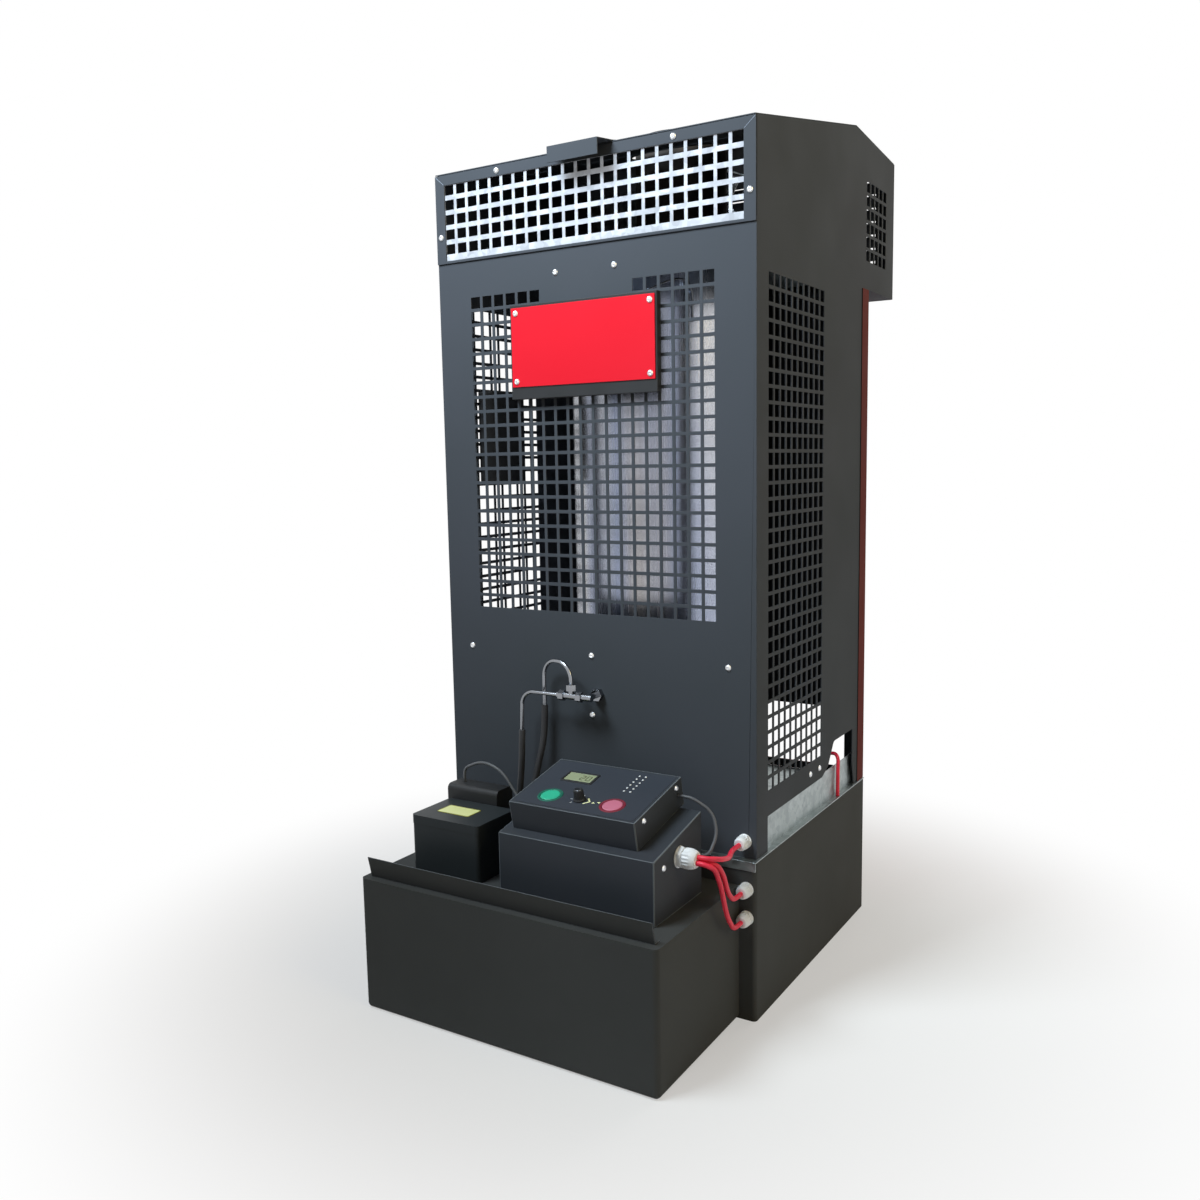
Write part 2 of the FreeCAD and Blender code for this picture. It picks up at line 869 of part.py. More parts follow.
def lid_handle():
    """Folded grip on the lid's rear edge: foot, ledge and turned-down lip, narrowing to its tip."""
    root = -lid_overhang
    tip = root - handle_reach
    ledge = lid_top(root)
    foot_z = lid_top(handle_foot)
    lip = ledge - handle_drop
    profile = [(handle_foot, foot_z), (handle_foot, foot_z + sheet), (root, ledge + sheet),
               (tip, ledge + sheet),
               (tip, lip), (tip + sheet, lip), (tip + sheet, ledge), (root, ledge)]
    grip = prism_x(profile, (-handle_width / 2, handle_width / 2))
    plan = [(-handle_width / 2, handle_foot), (-handle_width / 2, root), (-handle_tip_width / 2, tip),
            (handle_tip_width / 2, tip), (handle_width / 2, root), (handle_width / 2, handle_foot)]
    return grip.common(prism_z(plan, (ledge - handle_drop, ledge + flange)))


def hinge_axis():
    y = lid_depth + hinge_gap
    return y, lid_top(y) + hinge_radius / math.cos(math.atan(roof_slope))


def knuckle(x_range, direction, bored):
    """One hinge knuckle with its leaf, lying on the sloped sheet."""
    y, z = hinge_axis()
    low, high = sorted((0, direction * hinge_leaf))
    leaf = block(x_range, (low, high), (-hinge_radius, -hinge_radius + sheet))
    barrel = rod((x_range[0], 0, 0), (x_range[1], 0, 0), hinge_radius)
    bore = rod((x_range[0], 0, 0), (x_range[1], 0, 0), hinge_pin_radius + hinge_clearance)
    shape = fused([barrel, leaf])
    if bored:
        shape = shape.cut(bore)
    tilt = math.degrees(math.atan(roof_slope))
    shape.Placement = Placement(Vector(0, y, z), Rotation(Vector(1, 0, 0), tilt))
    return shape


def lid_hinges():
    """Knuckles on the lid, and on the roof pairs of knuckles joined by their pin."""
    y, z = hinge_axis()
    fixed, moving = [], []
    for side in (-1, 1):
        middle = side * hinge_spacing / 2
        half = hinge_knuckle / 2
        moving.append(knuckle((middle - half, middle + half), -1, True))
        pair = [rod((middle - 2 * half, y, z), (middle + 2 * half, y, z), hinge_pin_radius)]
        for end in (-1, 1):
            near = middle + end * (half + hinge_knuckle_gap)
            far = middle + end * (half + hinge_knuckle)
            pair.append(knuckle(tuple(sorted((near, far))), 1, False))
        fixed.append(fused(pair))
    return group(fixed), group(moving)


# Combustion chamber and burner

def combustion_chamber():
    wall = ring((0, chamber_y, chamber_bottom), (0, chamber_y, chamber_top - chamber_cover), chamber_radius,
                chamber_radius - chamber_wall)
    cover = rod((0, chamber_y, chamber_top - chamber_cover), (0, chamber_y, chamber_top), chamber_radius)
    flue_y = chamber_y + flue_offset
    hatch_y = chamber_y + hatch_offset
    flue_hole = flue_radius - flue_wall - flue_shoulder
    cover = cover.cut(rod((0, flue_y, chamber_top - chamber_cover), (0, flue_y, chamber_top), flue_hole))
    cover = cover.cut(rod((0, hatch_y, chamber_top - chamber_cover), (0, hatch_y, chamber_top), hatch_hole))
    return fused([wall, cover])


def flue_collar():
    flue_y = chamber_y + flue_offset
    return ring((0, flue_y, chamber_top), (0, flue_y, flue_top), flue_radius, flue_radius - flue_wall)


def hatch_axis():
    return chamber_y + hatch_offset + hatch_hinge_reach, chamber_top + hatch_hinge_rise


def lighting_hatch():
    """Round cover over the lighting hole, with a knob and an arm to its hinge barrel."""
    y, z = hatch_axis()
    hatch_y = chamber_y + hatch_offset
    low = chamber_top + touch_gap
    high = low + hatch_thickness
    half = hatch_barrel_width / 2
    disc = rod((0, hatch_y, low), (0, hatch_y, high), hatch_radius)
    arm = block((-half, half), (hatch_y, y), (low, high))
    barrel = rod((-half, y, z), (half, y, z), hatch_barrel)
    bore = rod((-half, y, z), (half, y, z), hinge_pin_radius + hinge_clearance)
    neck = block((-half, half), (y - hatch_barrel, y), (low, z))
    knob_profile = [(0, 0), (hatch_knob_neck, 0), (hatch_knob_neck, hatch_knob_foot),
                    (hatch_knob_radius, hatch_knob_shoulder), (hatch_knob_radius, hatch_knob_height),
                    (0, hatch_knob_height)]
    knob = turned(knob_profile, (0, hatch_y, high), (0, 0, 1))
    return fused([disc, arm, neck, barrel, knob]).cut(bore)


def hatch_hinge():
    """Two ears on the chamber's cover, joined by the hinge pin."""
    y, z = hatch_axis()
    half = hatch_barrel_width / 2 + touch_gap
    ears = []
    for side in (-1, 1):
        low, high = sorted((side * half, side * (half + hatch_ear)))
        rear, front, top = y - hatch_barrel, y + hatch_barrel, z + hatch_barrel
        profile = [(rear, chamber_top), (front, chamber_top), (front, top, hatch_ear_corner),
                   (rear, top, hatch_ear_corner)]
        ears.append(prism_x(profile, (low, high)))
    return fused([rod((-half, y, z), (half, y, z), hinge_pin_radius)] + ears)


def burner_pot():
    flange_top = chamber_bottom
    flange_low = flange_top - pot_wall
    inner = pot_radius - pot_wall
    profile = [(air_pipe_radius + touch_gap, pot_floor), (pot_radius, pot_floor), (pot_radius, flange_low),
               (pot_flange, flange_low), (pot_flange, flange_top), (inner, flange_top),
               (inner, pot_floor + pot_wall),
               (air_pipe_radius + touch_gap, pot_floor + pot_wall)]
    return turned(profile, (0, chamber_y, 0), (0, 0, 1))


def burner_ring():
    low = pot_floor + pot_wall
    high = low + burner_ring_height
    inner = burner_ring_radius - burner_ring_wall
    shape = ring((0, chamber_y, low), (0, chamber_y, high), burner_ring_radius, inner)
    half = burner_slot_width / 2
    slot_z = (low + burner_ring_height / 3, high - burner_ring_height / 3)
    for index in range(burner_slots):
        slot = block((0, burner_ring_radius + burner_ring_wall), (-half, half), slot_z)
        slot.rotate(Vector(0, 0, 0), Vector(0, 0, 1), 360 * index / burner_slots)
        slot.translate(Vector(0, chamber_y, 0))
        shape = shape.cut(slot)
    return shape


def burner_legs():
    legs = []
    for index in range(4):
        angle = [(0, 0), (leg_side, 0), (leg_side, leg_wall), (leg_wall, leg_wall), (leg_wall, leg_side),
                 (0, leg_side)]
        leg = prism_z(angle, (tray_top, chamber_bottom - pot_wall))
        leg.translate(Vector(-leg_side / 2, -leg_side / 2, 0))
        leg.rotate(Vector(0, 0, 0), Vector(0, 0, 1), 180)
        leg.translate(Vector(leg_radius / math.sqrt(2), leg_radius / math.sqrt(2), 0))
        leg.rotate(Vector(0, 0, 0), Vector(0, 0, 1), 90 * index)
        leg.translate(Vector(0, chamber_y, 0))
        legs.append(leg)
    return group(legs)


def air_pipe():
    bore = air_pipe_radius - air_pipe_wall
    flange_top = blower_outlet_top + air_pipe_wall
    half_x = blower_width / 2 + air_flange_beside
    half_y = blower_outlet / 2 + air_flange_ends
    pipe = rod((0, chamber_y, blower_outlet_top), (0, chamber_y, air_pipe_top), air_pipe_radius)
    plate = block((-half_x, half_x), (chamber_y - half_y, chamber_y + half_y),
                  (blower_outlet_top, flange_top))
    return fused([pipe, plate]).cut(rod((0, chamber_y, blower_outlet_top), (0, chamber_y, air_pipe_top),
                                        bore))


# Combustion blower

def blower_housing():
    y = chamber_y - blower_offset
    z = blower_height
    half = blower_width / 2
    inner = half - blower_wall
    drum = rod((-half, y, z), (half, y, z), blower_drum)
    duct_y = (chamber_y - blower_outlet / 2, chamber_y + blower_outlet / 2)
    duct = block((-half, half), duct_y, (z, blower_outlet_top))
    foot = block((-half, half), (y - half, y + half), (base_sheet, z))
    hollow = rod((-inner, y, z), (inner, y, z), blower_drum - blower_wall)
    duct_hollow = block((-inner, inner), (duct_y[0] + blower_wall, duct_y[1] - blower_wall),
                        (z, blower_outlet_top))
    housing = fused([drum, duct, foot]).cut(hollow).cut(duct_hollow)
    housing = housing.cut(rod((-half, y, z), (-inner, y, z), blower_inlet))
    return housing.cut(rod((inner, y, z), (half, y, z), 2 * blower_shaft))


def blower_wheel_piece():
    y = chamber_y - blower_offset
    z = blower_height
    inner = blower_width / 2 - blower_wall
    back = inner - blower_wheel_gap
    front = -inner + blower_wheel_gap
    half = blower_blade / 2
    hub = rod((front / 2, y, z), (back, y, z), 3 * blower_shaft)
    disc = rod((back - blower_disc, y, z), (back, y, z), blower_wheel)
    shaft = rod((back, y, z), (blower_width / 2 + blower_shaft_reach, y, z), blower_shaft)
    shapes = [hub, disc, shaft]
    for index in range(blower_blades):
        blade = block((front, back), (-half, half), (blower_wheel - blower_blade_height, blower_wheel))
        blade.rotate(Vector(0, 0, blower_wheel - blower_blade_pivot), Vector(1, 0, 0), blower_blade_lean)
        blade.rotate(Vector(0, 0, 0), Vector(1, 0, 0), 360 * index / blower_blades)
        blade.translate(Vector(0, y, z))
        shapes.append(blade)
    return fused(shapes)


def blower_motor():
    y = chamber_y - blower_offset
    z = blower_height
    start = blower_width / 2
    end = start + blower_motor_length
    body = rod((start, y, z), (end, y, z), blower_motor_radius)
    half = blower_foot_width / 2
    foot = block((start + blower_foot_inset, end - blower_foot_inset), (y - half, y + half), (base_sheet, z))
    bore = rod((start, y, z), (start + blower_motor_bore, y, z), blower_shaft + shaft_clearance)
    return fused([body, foot]).cut(bore)


# Hot-air fan

def fan_plate_y():
    return cabinet_depth - fan_plate_setback


def fan_plate():
    y = fan_plate_y()
    shroud = fan_radius + fan_tip_gap
    plate = block((-inner_half, inner_half), (y, y + sheet), (hood_bottom + flange, hood_top - flange))
    collar = rod((0, y - flange, fan_height), (0, y + sheet, fan_height), shroud + sheet)
    return fused([plate, collar]).cut(rod((0, y - flange, fan_height), (0, y + sheet, fan_height), shroud))


def fan_rotor():
    y = fan_plate_y()
    hub_rear, hub_front = y - fan_hub_length, y
    hub = rod((0, hub_rear, fan_height), (0, hub_front, fan_height), fan_hub)
    shaft = rod((0, hub_front, fan_height), (0, hub_front + fan_shaft_length, fan_height), fan_shaft)
    shapes = [hub, shaft]

    def section(radius, chord, twist):
        corners = []
        for along, across in ((-1, -1), (1, -1), (1, 1), (-1, 1)):
            a = along * chord / 2
            b = across * fan_blade / 2
            sine, cosine = math.sin(math.radians(twist)), math.cos(math.radians(twist))
            corners.append(Vector(radius, a * sine + b * cosine, a * cosine - b * sine))
        return Part.makePolygon(corners + corners[:1])

    root = section(fan_hub - fan_root_sink, fan_root_chord, fan_root_twist)
    tip = section(fan_radius, fan_tip_chord, fan_tip_twist)
    for index in range(fan_blades):
        blade = Part.makeLoft([root, tip], True, True)
        blade.rotate(Vector(0, 0, 0), Vector(0, 1, 0), 360 * index / fan_blades)
        blade.translate(Vector(0, (hub_rear + hub_front) / 2, fan_height))
        shapes.append(blade)
    return fused(shapes)


def fan_motor_start():
    return fan_plate_y() + flange


def fan_motor():
    start = fan_motor_start()
    body = rod((0, start, fan_height), (0, start + fan_motor_length, fan_height), fan_motor_radius)
    bore_end = start + fan_motor_bore
    return body.cut(rod((0, start, fan_height), (0, bore_end, fan_height), fan_shaft + shaft_clearance))


def fan_bracket():
    """Spider that holds the motor: a ring with arms, on posts that stand on the fan plate."""
    y = fan_motor_start() + flange
    front = y + spider_sheet
    back = fan_plate_y() + sheet
    half = spider_arm / 2
    shapes = [rod((0, y, fan_height), (0, front, fan_height), fan_motor_radius + spider_ring)]
    for index in range(fan_posts):
        arm = block((0, fan_post_circle), (y, front), (-half, half))
        post = rod((fan_post_circle, back, 0), (fan_post_circle, front, 0), fan_post_radius)
        for shape in (arm, post):
            shape.rotate(Vector(0, 0, 0), Vector(0, 1, 0), fan_post_turn + 360 * index / fan_posts)
            shape.translate(Vector(0, 0, fan_height))
            shapes.append(shape)
    return fused(shapes).cut(rod((0, y, fan_height), (0, front, fan_height), fan_motor_radius + touch_gap))


# Rear panel furniture

def plate_box():
    half = plate_box_width / 2
    return block((-half, half), (-plate_box_depth, 0),
                 (plate_box_bottom, plate_box_bottom + plate_box_height))


def red_plate():
    half = plate_width / 2
    front = -plate_box_depth - plate_sheet
    return block((-half, half), (front, -plate_box_depth), (plate_bottom, plate_bottom + plate_height))


def thermostat_box():
    body_x = (-inner_half, -inner_half + thermostat_thickness)
    y_range = (thermostat_rear, thermostat_rear + thermostat_depth)
    return block(body_x, y_range, (thermostat_bottom, thermostat_bottom + thermostat_height))


def capillary():
    """Thin sensor tube that lies on the rear panel's inner face and runs to the chamber wall."""
    top_row = rear_field_bottom + (rear_rows - 1) * pitch + hole / 2
    on_panel_y = sheet + capillary_radius
    start_x = field_length(rear_columns) / 2 - capillary_columns * pitch
    reach = (chamber_radius + capillary_radius) / math.sqrt(2)
    wall_x, wall_y = reach, chamber_y - reach
    middle_y = (on_panel_y + wall_y) / 2
    tail = top_row - capillary_tail
    points = [(start_x, on_panel_y, tail), (start_x, on_panel_y, top_row - capillary_start),
              (start_x + capillary_rise, middle_y, top_row + capillary_rise),
              (wall_x, wall_y, top_row + capillary_top), (wall_x, wall_y, tail)]
    return tube("capillary", points, capillary_radius)


def screw(place, axis):
    profile = [(0, 0), (screw_radius, 0), (screw_radius * 0.85, screw_head * 0.7),
               (screw_radius * 0.4, screw_head),
               (0, screw_head)]
    return turned(profile, place, axis)


def panel_screws():
    foot_x = half_width - foot_screw_inset
    foot_z = rear_field_bottom - foot_screw_drop
    seam_z = rear_seam - seam_screw_drop
    rear = [(-foot_x, 0, foot_z), (0, 0, foot_z), (foot_x, 0, foot_z), (0, 0, feed_z - feed_screw_drop),
            (-seam_screw_half, 0, seam_z), (seam_screw_half, 0, seam_z)]
    bar_z = (mesh_z()[1] + frame_top) / 2
    bar_x = (field_length(mesh_columns, mesh_upright) / 2 + half_width) / 2
    side_z = rear_seam + frame_screw_rise
    proud = -frame_proud
    rear += [(frame_screw_left, proud, bar_z), (frame_screw_right, proud, bar_z), (-bar_x, proud, side_z),
             (bar_x, proud, side_z)]
    screws = [screw(place, (0, -1, 0)) for place in rear]
    side_screw_z = (panel_foot + side_field_bottom) / 2
    for side in (-1, 1):
        for y in side_screw_places:
            screws.append(screw((side * half_width, y, side_screw_z), (side, 0, 0)))
    return screws


def plate_screws():
    x = plate_width / 2 - plate_screw_inset
    low = plate_bottom + plate_screw_inset
    high = plate_bottom + plate_height - plate_screw_inset
    front = -plate_box_depth - plate_sheet
    return [screw((side * x, front, z), (0, -1, 0)) for side in (-1, 1) for z in (low, high)]


# Control stand and control box

def stand_top(y):
    return tank_height + stand_height + (y - stand_front) * math.tan(math.radians(panel_tilt))


def control_stand():
    def wedge(inset, drop):
        front, back = stand_front + inset, stand_back - inset
        profile = [(front, tank_height), (front, stand_top(front) - drop), (back, stand_top(back) - drop),
                   (back, tank_height)]
        return prism_x(profile, (stand_left + inset, stand_right - inset))

    stand = wedge(0, 0).cut(wedge(control_sheet, control_sheet))
    stub = main_gland_radius * gland_stub + touch_gap
    inside = stand_right - control_sheet
    gland_hole = rod((inside, main_gland_y, main_gland_z), (stand_right, main_gland_y, main_gland_z), stub)
    return stand.cut(gland_hole)


def on_panel(shape):
    """Move a shape drawn with X across, Y up the slope and Z out of the panel onto the tilted stand."""
    front = stand_front + box_setback
    placement = Placement(Vector(0, front, stand_top(front)), Rotation(Vector(1, 0, 0), panel_tilt))
    shape.Placement = placement.multiply(shape.Placement)
    return shape


def control_box():
    top = (box_height - control_sheet, box_height)
    shell = block((box_left, box_right), (0, box_depth), (0, box_height))
    inset = control_sheet
    shell = shell.cut(block((box_left + inset, box_right - inset), (inset, box_depth - inset), (0, top[0])))
    for u, radius in ((start_u, button_radius), (stop_u, button_radius), (knob_u, knob_shaft)):
        shell = shell.cut(rod((u, control_row, top[0]), (u, control_row, top[1]), radius + button_gap))
    return on_panel(shell)


def control_board():
    """Circuit board hung under the box's top, with two switches and the selector's body on it."""
    low, high = board_height, board_height + board_thickness
    board = block((box_left + board_margin, box_right - board_margin),
                  (board_margin, box_depth - board_margin),
                  (low, high))
    posts = []
    for u in (box_left + board_post_inset, box_right - board_post_inset):
        for v in (box_depth / 2, box_depth - board_post_inset):
            posts.append(rod((u, v, low), (u, v, box_height - control_sheet), board_post_radius))
    top = high + switch_height
    half = switch_width / 2
    switch_row = (control_row - half, control_row + half)
    switches = [block((u - half, u + half), switch_row, (high, top)) for u in (start_u, stop_u)]
    selector = rod((knob_u, control_row, high), (knob_u, control_row, top), selector_radius)
    bore_foot = high + selector_floor
    bore = rod((knob_u, control_row, bore_foot), (knob_u, control_row, top), knob_shaft + shaft_clearance)
    return on_panel(fused([board, selector] + posts + switches).cut(bore))


def push_button(u):
    """Round cap with a crowned top and a stem that ends just above its switch."""
    switch_top = board_height + board_thickness + switch_height
    stem = switch_top + button_travel + touch_gap
    skirt = box_height - control_sheet - button_skirt
    top = box_height + button_proud
    profile = [(0, stem), (button_stem, stem), (button_stem, skirt), (button_radius, skirt),
               (button_radius, top - button_crown), (button_radius - button_crown_width, top), (0, top)]
    return on_panel(turned(profile, (u, control_row, 0), (0, 0, 1)))


def selector_knob():
    """Knob with a waisted skirt and a pointer rib, on a shaft that runs down into its switch."""
    foot = box_height + touch_gap
    top = foot + knob_height
    low = board_height + board_thickness + knob_shaft_lift
    profile = [(0, foot), (knob_radius + knob_skirt, foot), (knob_radius, foot + knob_skirt_height),
               (knob_radius - knob_taper, top), (0, top)]
    body = turned(profile, (0, 0, 0), (0, 0, 1))
    rib = block((-knob_rib / 2, knob_rib / 2), (0, knob_radius + knob_rib_proud),
                (foot + knob_rib_foot, top + knob_rib_proud))
    shaft = rod((0, 0, low), (0, 0, foot), knob_shaft)
    shape = fused([body, rib, shaft])
    shape.translate(Vector(knob_u, control_row, 0))
    return on_panel(shape)


def display_window():
    u_range = (display_u - display_width / 2, display_u + display_width / 2)
    v_range = (display_v - display_length / 2, display_v + display_length / 2)
    return on_panel(block(u_range, v_range, (box_height, box_height + display_thickness)))


def indicator_lights():
    lights = []
    for column in range(light_columns):
        for row in range(light_rows):
            u = light_u + column * light_step_u
            v = light_v + row * light_step_v
            lights.append(on_panel(rod((u, v, box_height), (u, v, box_height + light_proud), light_radius)))
    return lights


def control_screws():
    shapes = []
    for v in (box_screw_front, box_depth - box_screw_back):
        for u, axis in ((box_left, -1), (box_right, 1)):
            shapes.append(on_panel(screw((u, v, box_height - box_screw_drop), (axis, 0, 0))))
    stand_screw_y = stand_front + stand_screw_setback
    stand_screw_z = tank_height + stand_height - stand_screw_drop
    for x, axis in ((stand_left, -1), (stand_right, 1)):
        shapes.append(screw((x, stand_screw_y, stand_screw_z), (axis, 0, 0)))
    return shapes


# Pump, tank fittings and fuel line

def pump_y():
    return pump_front, pump_front + pump_depth


def pump_box():
    x_range = (pump_left, pump_left + pump_width)
    corners = [(x, y, pump_corner) for x, y in rectangle(x_range, pump_y())]
    return prism_z(corners, (tank_height, tank_height + pump_height))


def rectangle(x_range, y_range):
    return [(x_range[0], y_range[0]), (x_range[1], y_range[0]), (x_range[1], y_range[1]),
            (x_range[0], y_range[1])]


def pump_box_lid():
    inset = pump_lid_inset
    x_range = (pump_left - inset, pump_left + pump_width + inset)
    y_range = (pump_y()[0] - inset, pump_y()[1] - touch_gap)
    corners = [(x, y, pump_corner) for x, y in rectangle(x_range, y_range)]
    low = tank_height + pump_height
    return prism_z(corners, (low, low + pump_lid_height))


def pump_motor_cover():
    x_range = (motor_cover_left, motor_cover_left + motor_cover_width)
    rear = pump_y()[1] + touch_gap
    high = tank_height + motor_cover_height
    front = rear + motor_cover_depth
    profile = [(rear, tank_height), (rear, high, motor_cover_corner), (front, high, motor_cover_corner),
               (front, tank_height)]
    return prism_x(profile, x_range)


def suction_pipe():
    """Pump's dip pipe with a strainer basket near the tank floor."""
    low = tank_wall + suction_lift
    basket = low + strainer_height
    pipe = rod((suction_x, suction_y, basket), (suction_x, suction_y, tank_height), suction_radius)
    strainer = rod((suction_x, suction_y, low), (suction_x, suction_y, basket), strainer_radius)
    return fused([pipe, strainer])


def filler_neck():
    low = tank_height
    high = low + filler_height
    return ring((filler_x, filler_y, low), (filler_x, filler_y, high), filler_radius,
                filler_radius - filler_wall)


def filler_cap():
    """Quarter-turn cap over the filler neck, with two grip ribs."""
    low = tank_height + cap_lift
    roof = tank_height + filler_height + touch_gap
    top = low + cap_height
    shell = rod((filler_x, filler_y, low), (filler_x, filler_y, top), cap_radius)
    shell = shell.cut(rod((filler_x, filler_y, low), (filler_x, filler_y, roof),
                          filler_radius + cap_clearance))
    half_length, half_thick = cap_rib_length / 2, cap_rib_width / 2
    rib = block((filler_x - half_length, filler_x + half_length),
                (filler_y - half_thick, filler_y + half_thick),
                (top, top + cap_rib_height))
    return fused([shell, rib])


def hose_nipples():
    top = tank_height + nipple_height
    return [rod((x, feed_y, tank_height), (x, feed_y, top), nipple_radius) for x in hose_feet]


def feed_tee():
    """Tee in the fuel line: level body, upright branch and a stub to the rear panel."""
    right = feed_x + feed_body + feed_end
    top = feed_z + feed_branch_height
    body = rod((feed_left, feed_y, feed_z), (right, feed_y, feed_z), feed_body + feed_swell)
    branch = rod((feed_branch_x, feed_y, feed_z), (feed_branch_x, feed_y, top), feed_body)
    stub = rod((feed_x, feed_y, feed_z), (feed_x, sheet + feed_stub, feed_z), feed_body)
    return fused([body, branch, stub])


def feed_nuts():
    half = feed_nut_length / 2
    thick = feed_body + feed_swell
    places = [((feed_left + feed_left_nut, feed_y, feed_z), (1, 0, 0), thick, feed_nut),
              ((feed_branch_x + feed_middle_nut, feed_y, feed_z), (1, 0, 0), thick, feed_nut),
              ((feed_branch_x, feed_y, feed_z + feed_branch_nut), (0, 0, 1), feed_body, feed_nut),
              ((feed_x, -half, feed_z), (0, 1, 0), feed_body, bulkhead_nut),
              ((feed_x, sheet + half, feed_z), (0, 1, 0), feed_body, bulkhead_nut)]
    nuts = []
    for place, axis, bore, across_flats in places:
        centre = Vector(*place)
        step = Vector(*axis) * half
        nut = hexagon(across_flats, centre - step, centre + step)
        nuts.append(nut.cut(rod(centre - step, centre + step, bore)))
    return nuts


def fuel_lines():
    """Steel loop and steel feed pipe at the tee, each with its hose down to the tank."""
    behind = feed_y + loop_setback
    loop_x = feed_branch_x - loop_reach
    loop_top = feed_z + loop_rise
    loop_end = feed_z - loop_fall
    loop = [(feed_branch_x, feed_y, feed_z + feed_branch_height), (feed_branch_x, feed_y, loop_top),
            (loop_x, behind, loop_top), (loop_x, behind, loop_end)]
    pipe_end = feed_z - feed_pipe_fall
    drop_x = loop_x - feed_pipe_reach
    feed = [(feed_left, feed_y, feed_z), (drop_x, feed_y, feed_z), (drop_x - 2, feed_y, pipe_end)]
    foot = tank_height + nipple_height
    loop_hose = [(loop_x, behind, loop_end), (loop_x - 2, behind, loop_end - 50),
                 (hose_feet[1], feed_y, foot + 60), (hose_feet[1], feed_y, foot)]
    feed_hose = [(drop_x - 2, feed_y, pipe_end), (drop_x - 4, feed_y, pipe_end - 50),
                 (hose_feet[0], feed_y, foot + 50), (hose_feet[0], feed_y, foot)]
    pipes = [tube("loop pipe", loop, pipe_radius, loop_bend), tube("feed pipe", feed, pipe_radius, pipe_bend)]
    hoses = [tube("loop hose", loop_hose, hose_radius), tube("feed hose", feed_hose, hose_radius)]
    return group(pipes), group(hoses)


def burner_feed_pipe():
    start = sheet + feed_stub
    turn = start + burner_feed_reach
    pot_side = chamber_y - pot_radius
    entry = pot_floor + burner_feed_rise
    points = [(feed_x, start, feed_z), (feed_x, turn, feed_z), (feed_x, turn, entry),
              (feed_x, pot_side, entry)]
    return tube("burner_feed_pipe", points, pipe_radius, pipe_bend)


# Glands and leads

def gland(place, axis, radius, length):
    """Cable gland: stub in the wall, flange, waist and dome nut."""
    stub = radius * gland_stub
    waist = radius * 0.84
    profile = [(0, -gland_stub_length), (stub, -gland_stub_length), (stub, 0), (radius, 0),
               (radius, length * 0.22),
               (waist, length * 0.22), (waist, length * 0.36), (radius, length * 0.36),
               (radius, length * 0.7),
               (radius * 0.66, length), (0, length)]
    return turned(profile, place, axis)


def main_gland():
    return gland((stand_right, main_gland_y, main_gland_z), (1, 0, 0), main_gland_radius, main_gland_length)


def lead_gland_places():
    low, middle, high = small_gland_heights
    return [(small_gland_x, base_rear, low), (small_gland_x, base_rear, middle),
            (small_gland_upper_x, 0, high)]


def lead_glands():
    return [gland(place, (0, -1, 0), small_gland_radius, small_gland_length) for place in lead_gland_places()]


def red_leads():
    """Three silicone leads that leave the main gland together, fan out and drop to the three small glands."""
    start_x = stand_right + main_gland_length
    inset = main_gland_radius * 0.3
    starts = [(main_gland_y - inset, main_gland_z - inset * 0.6),
              (main_gland_y + inset, main_gland_z - inset * 0.6),
              (main_gland_y, main_gland_z + inset)]
    leads = []
    for index, (place, (y, z)) in enumerate(zip(lead_gland_places(), starts)):
        end_y = place[1] - small_gland_length
        drop = z - place[2]
        bend_y = end_y - 24
        points = [(start_x, y, z), (start_x + 13, y, z), (start_x + 23, y + 8, z - drop * 0.06),
                  (start_x + 26, y + 19, z - drop * 0.28),
                  (start_x + 24, (y + 19 + bend_y) / 2 - 6, z - drop * 0.72),
                  (place[0], bend_y, place[2]), (place[0], end_y, place[2])]
        leads.append(tube(f"red lead {index + 1}", points, lead_radius))
    return leads


def panel_lead():
    """Black lead from the control box's side down into the stand's side."""
    y = stand_back - 6
    high = tank_height + 135
    low = tank_height + 63
    points = [(box_right, y, high), (box_right + 22, y, high), (stand_right + 16, y + 8, high - 18),
              (stand_right + 26, y + 2, high - 46), (stand_right + 22, y - 18, low),
              (stand_right, y - 18, low)]
    return tube("panel_lead", points, thin_lead_radius)


def pump_lead():
    """Grey lead from the pump's motor cover, in an arch, into the stand's left wall."""
    y = suction_y
    start = motor_cover_left + 18
    high = tank_height + motor_cover_height
    points = [(start, y, high), (start, y, high + 22), (start + 36, y, high + 38),
              (start + 74, y - 2, high + 28),
              (stand_left - 49, y - 4, high - 6), (stand_left - 26, y - 6, high - 30),
              (stand_left, y - 6, high - 30)]
    return tube("pump_lead", points, thin_lead_radius)


def side_lead():
    """Red lead that comes out over the tray's upstand, through the access cut-out, and down into the base."""
    over = panel_foot + lead_radius + 6
    inside = base_width / 2 - tray_ledge - tray_sheet - 18
    points = [(inside - 14, side_lead_y + 36, over - 14), (inside, side_lead_y + 26, over + 3),
              (side_lead_x - 3, side_lead_y + 10, over + 7), (side_lead_x, side_lead_y, over - 20),
              (side_lead_x, side_lead_y, base_height - 10)]
    return tube("side_lead", points, lead_radius - 0.4)


# Assembly

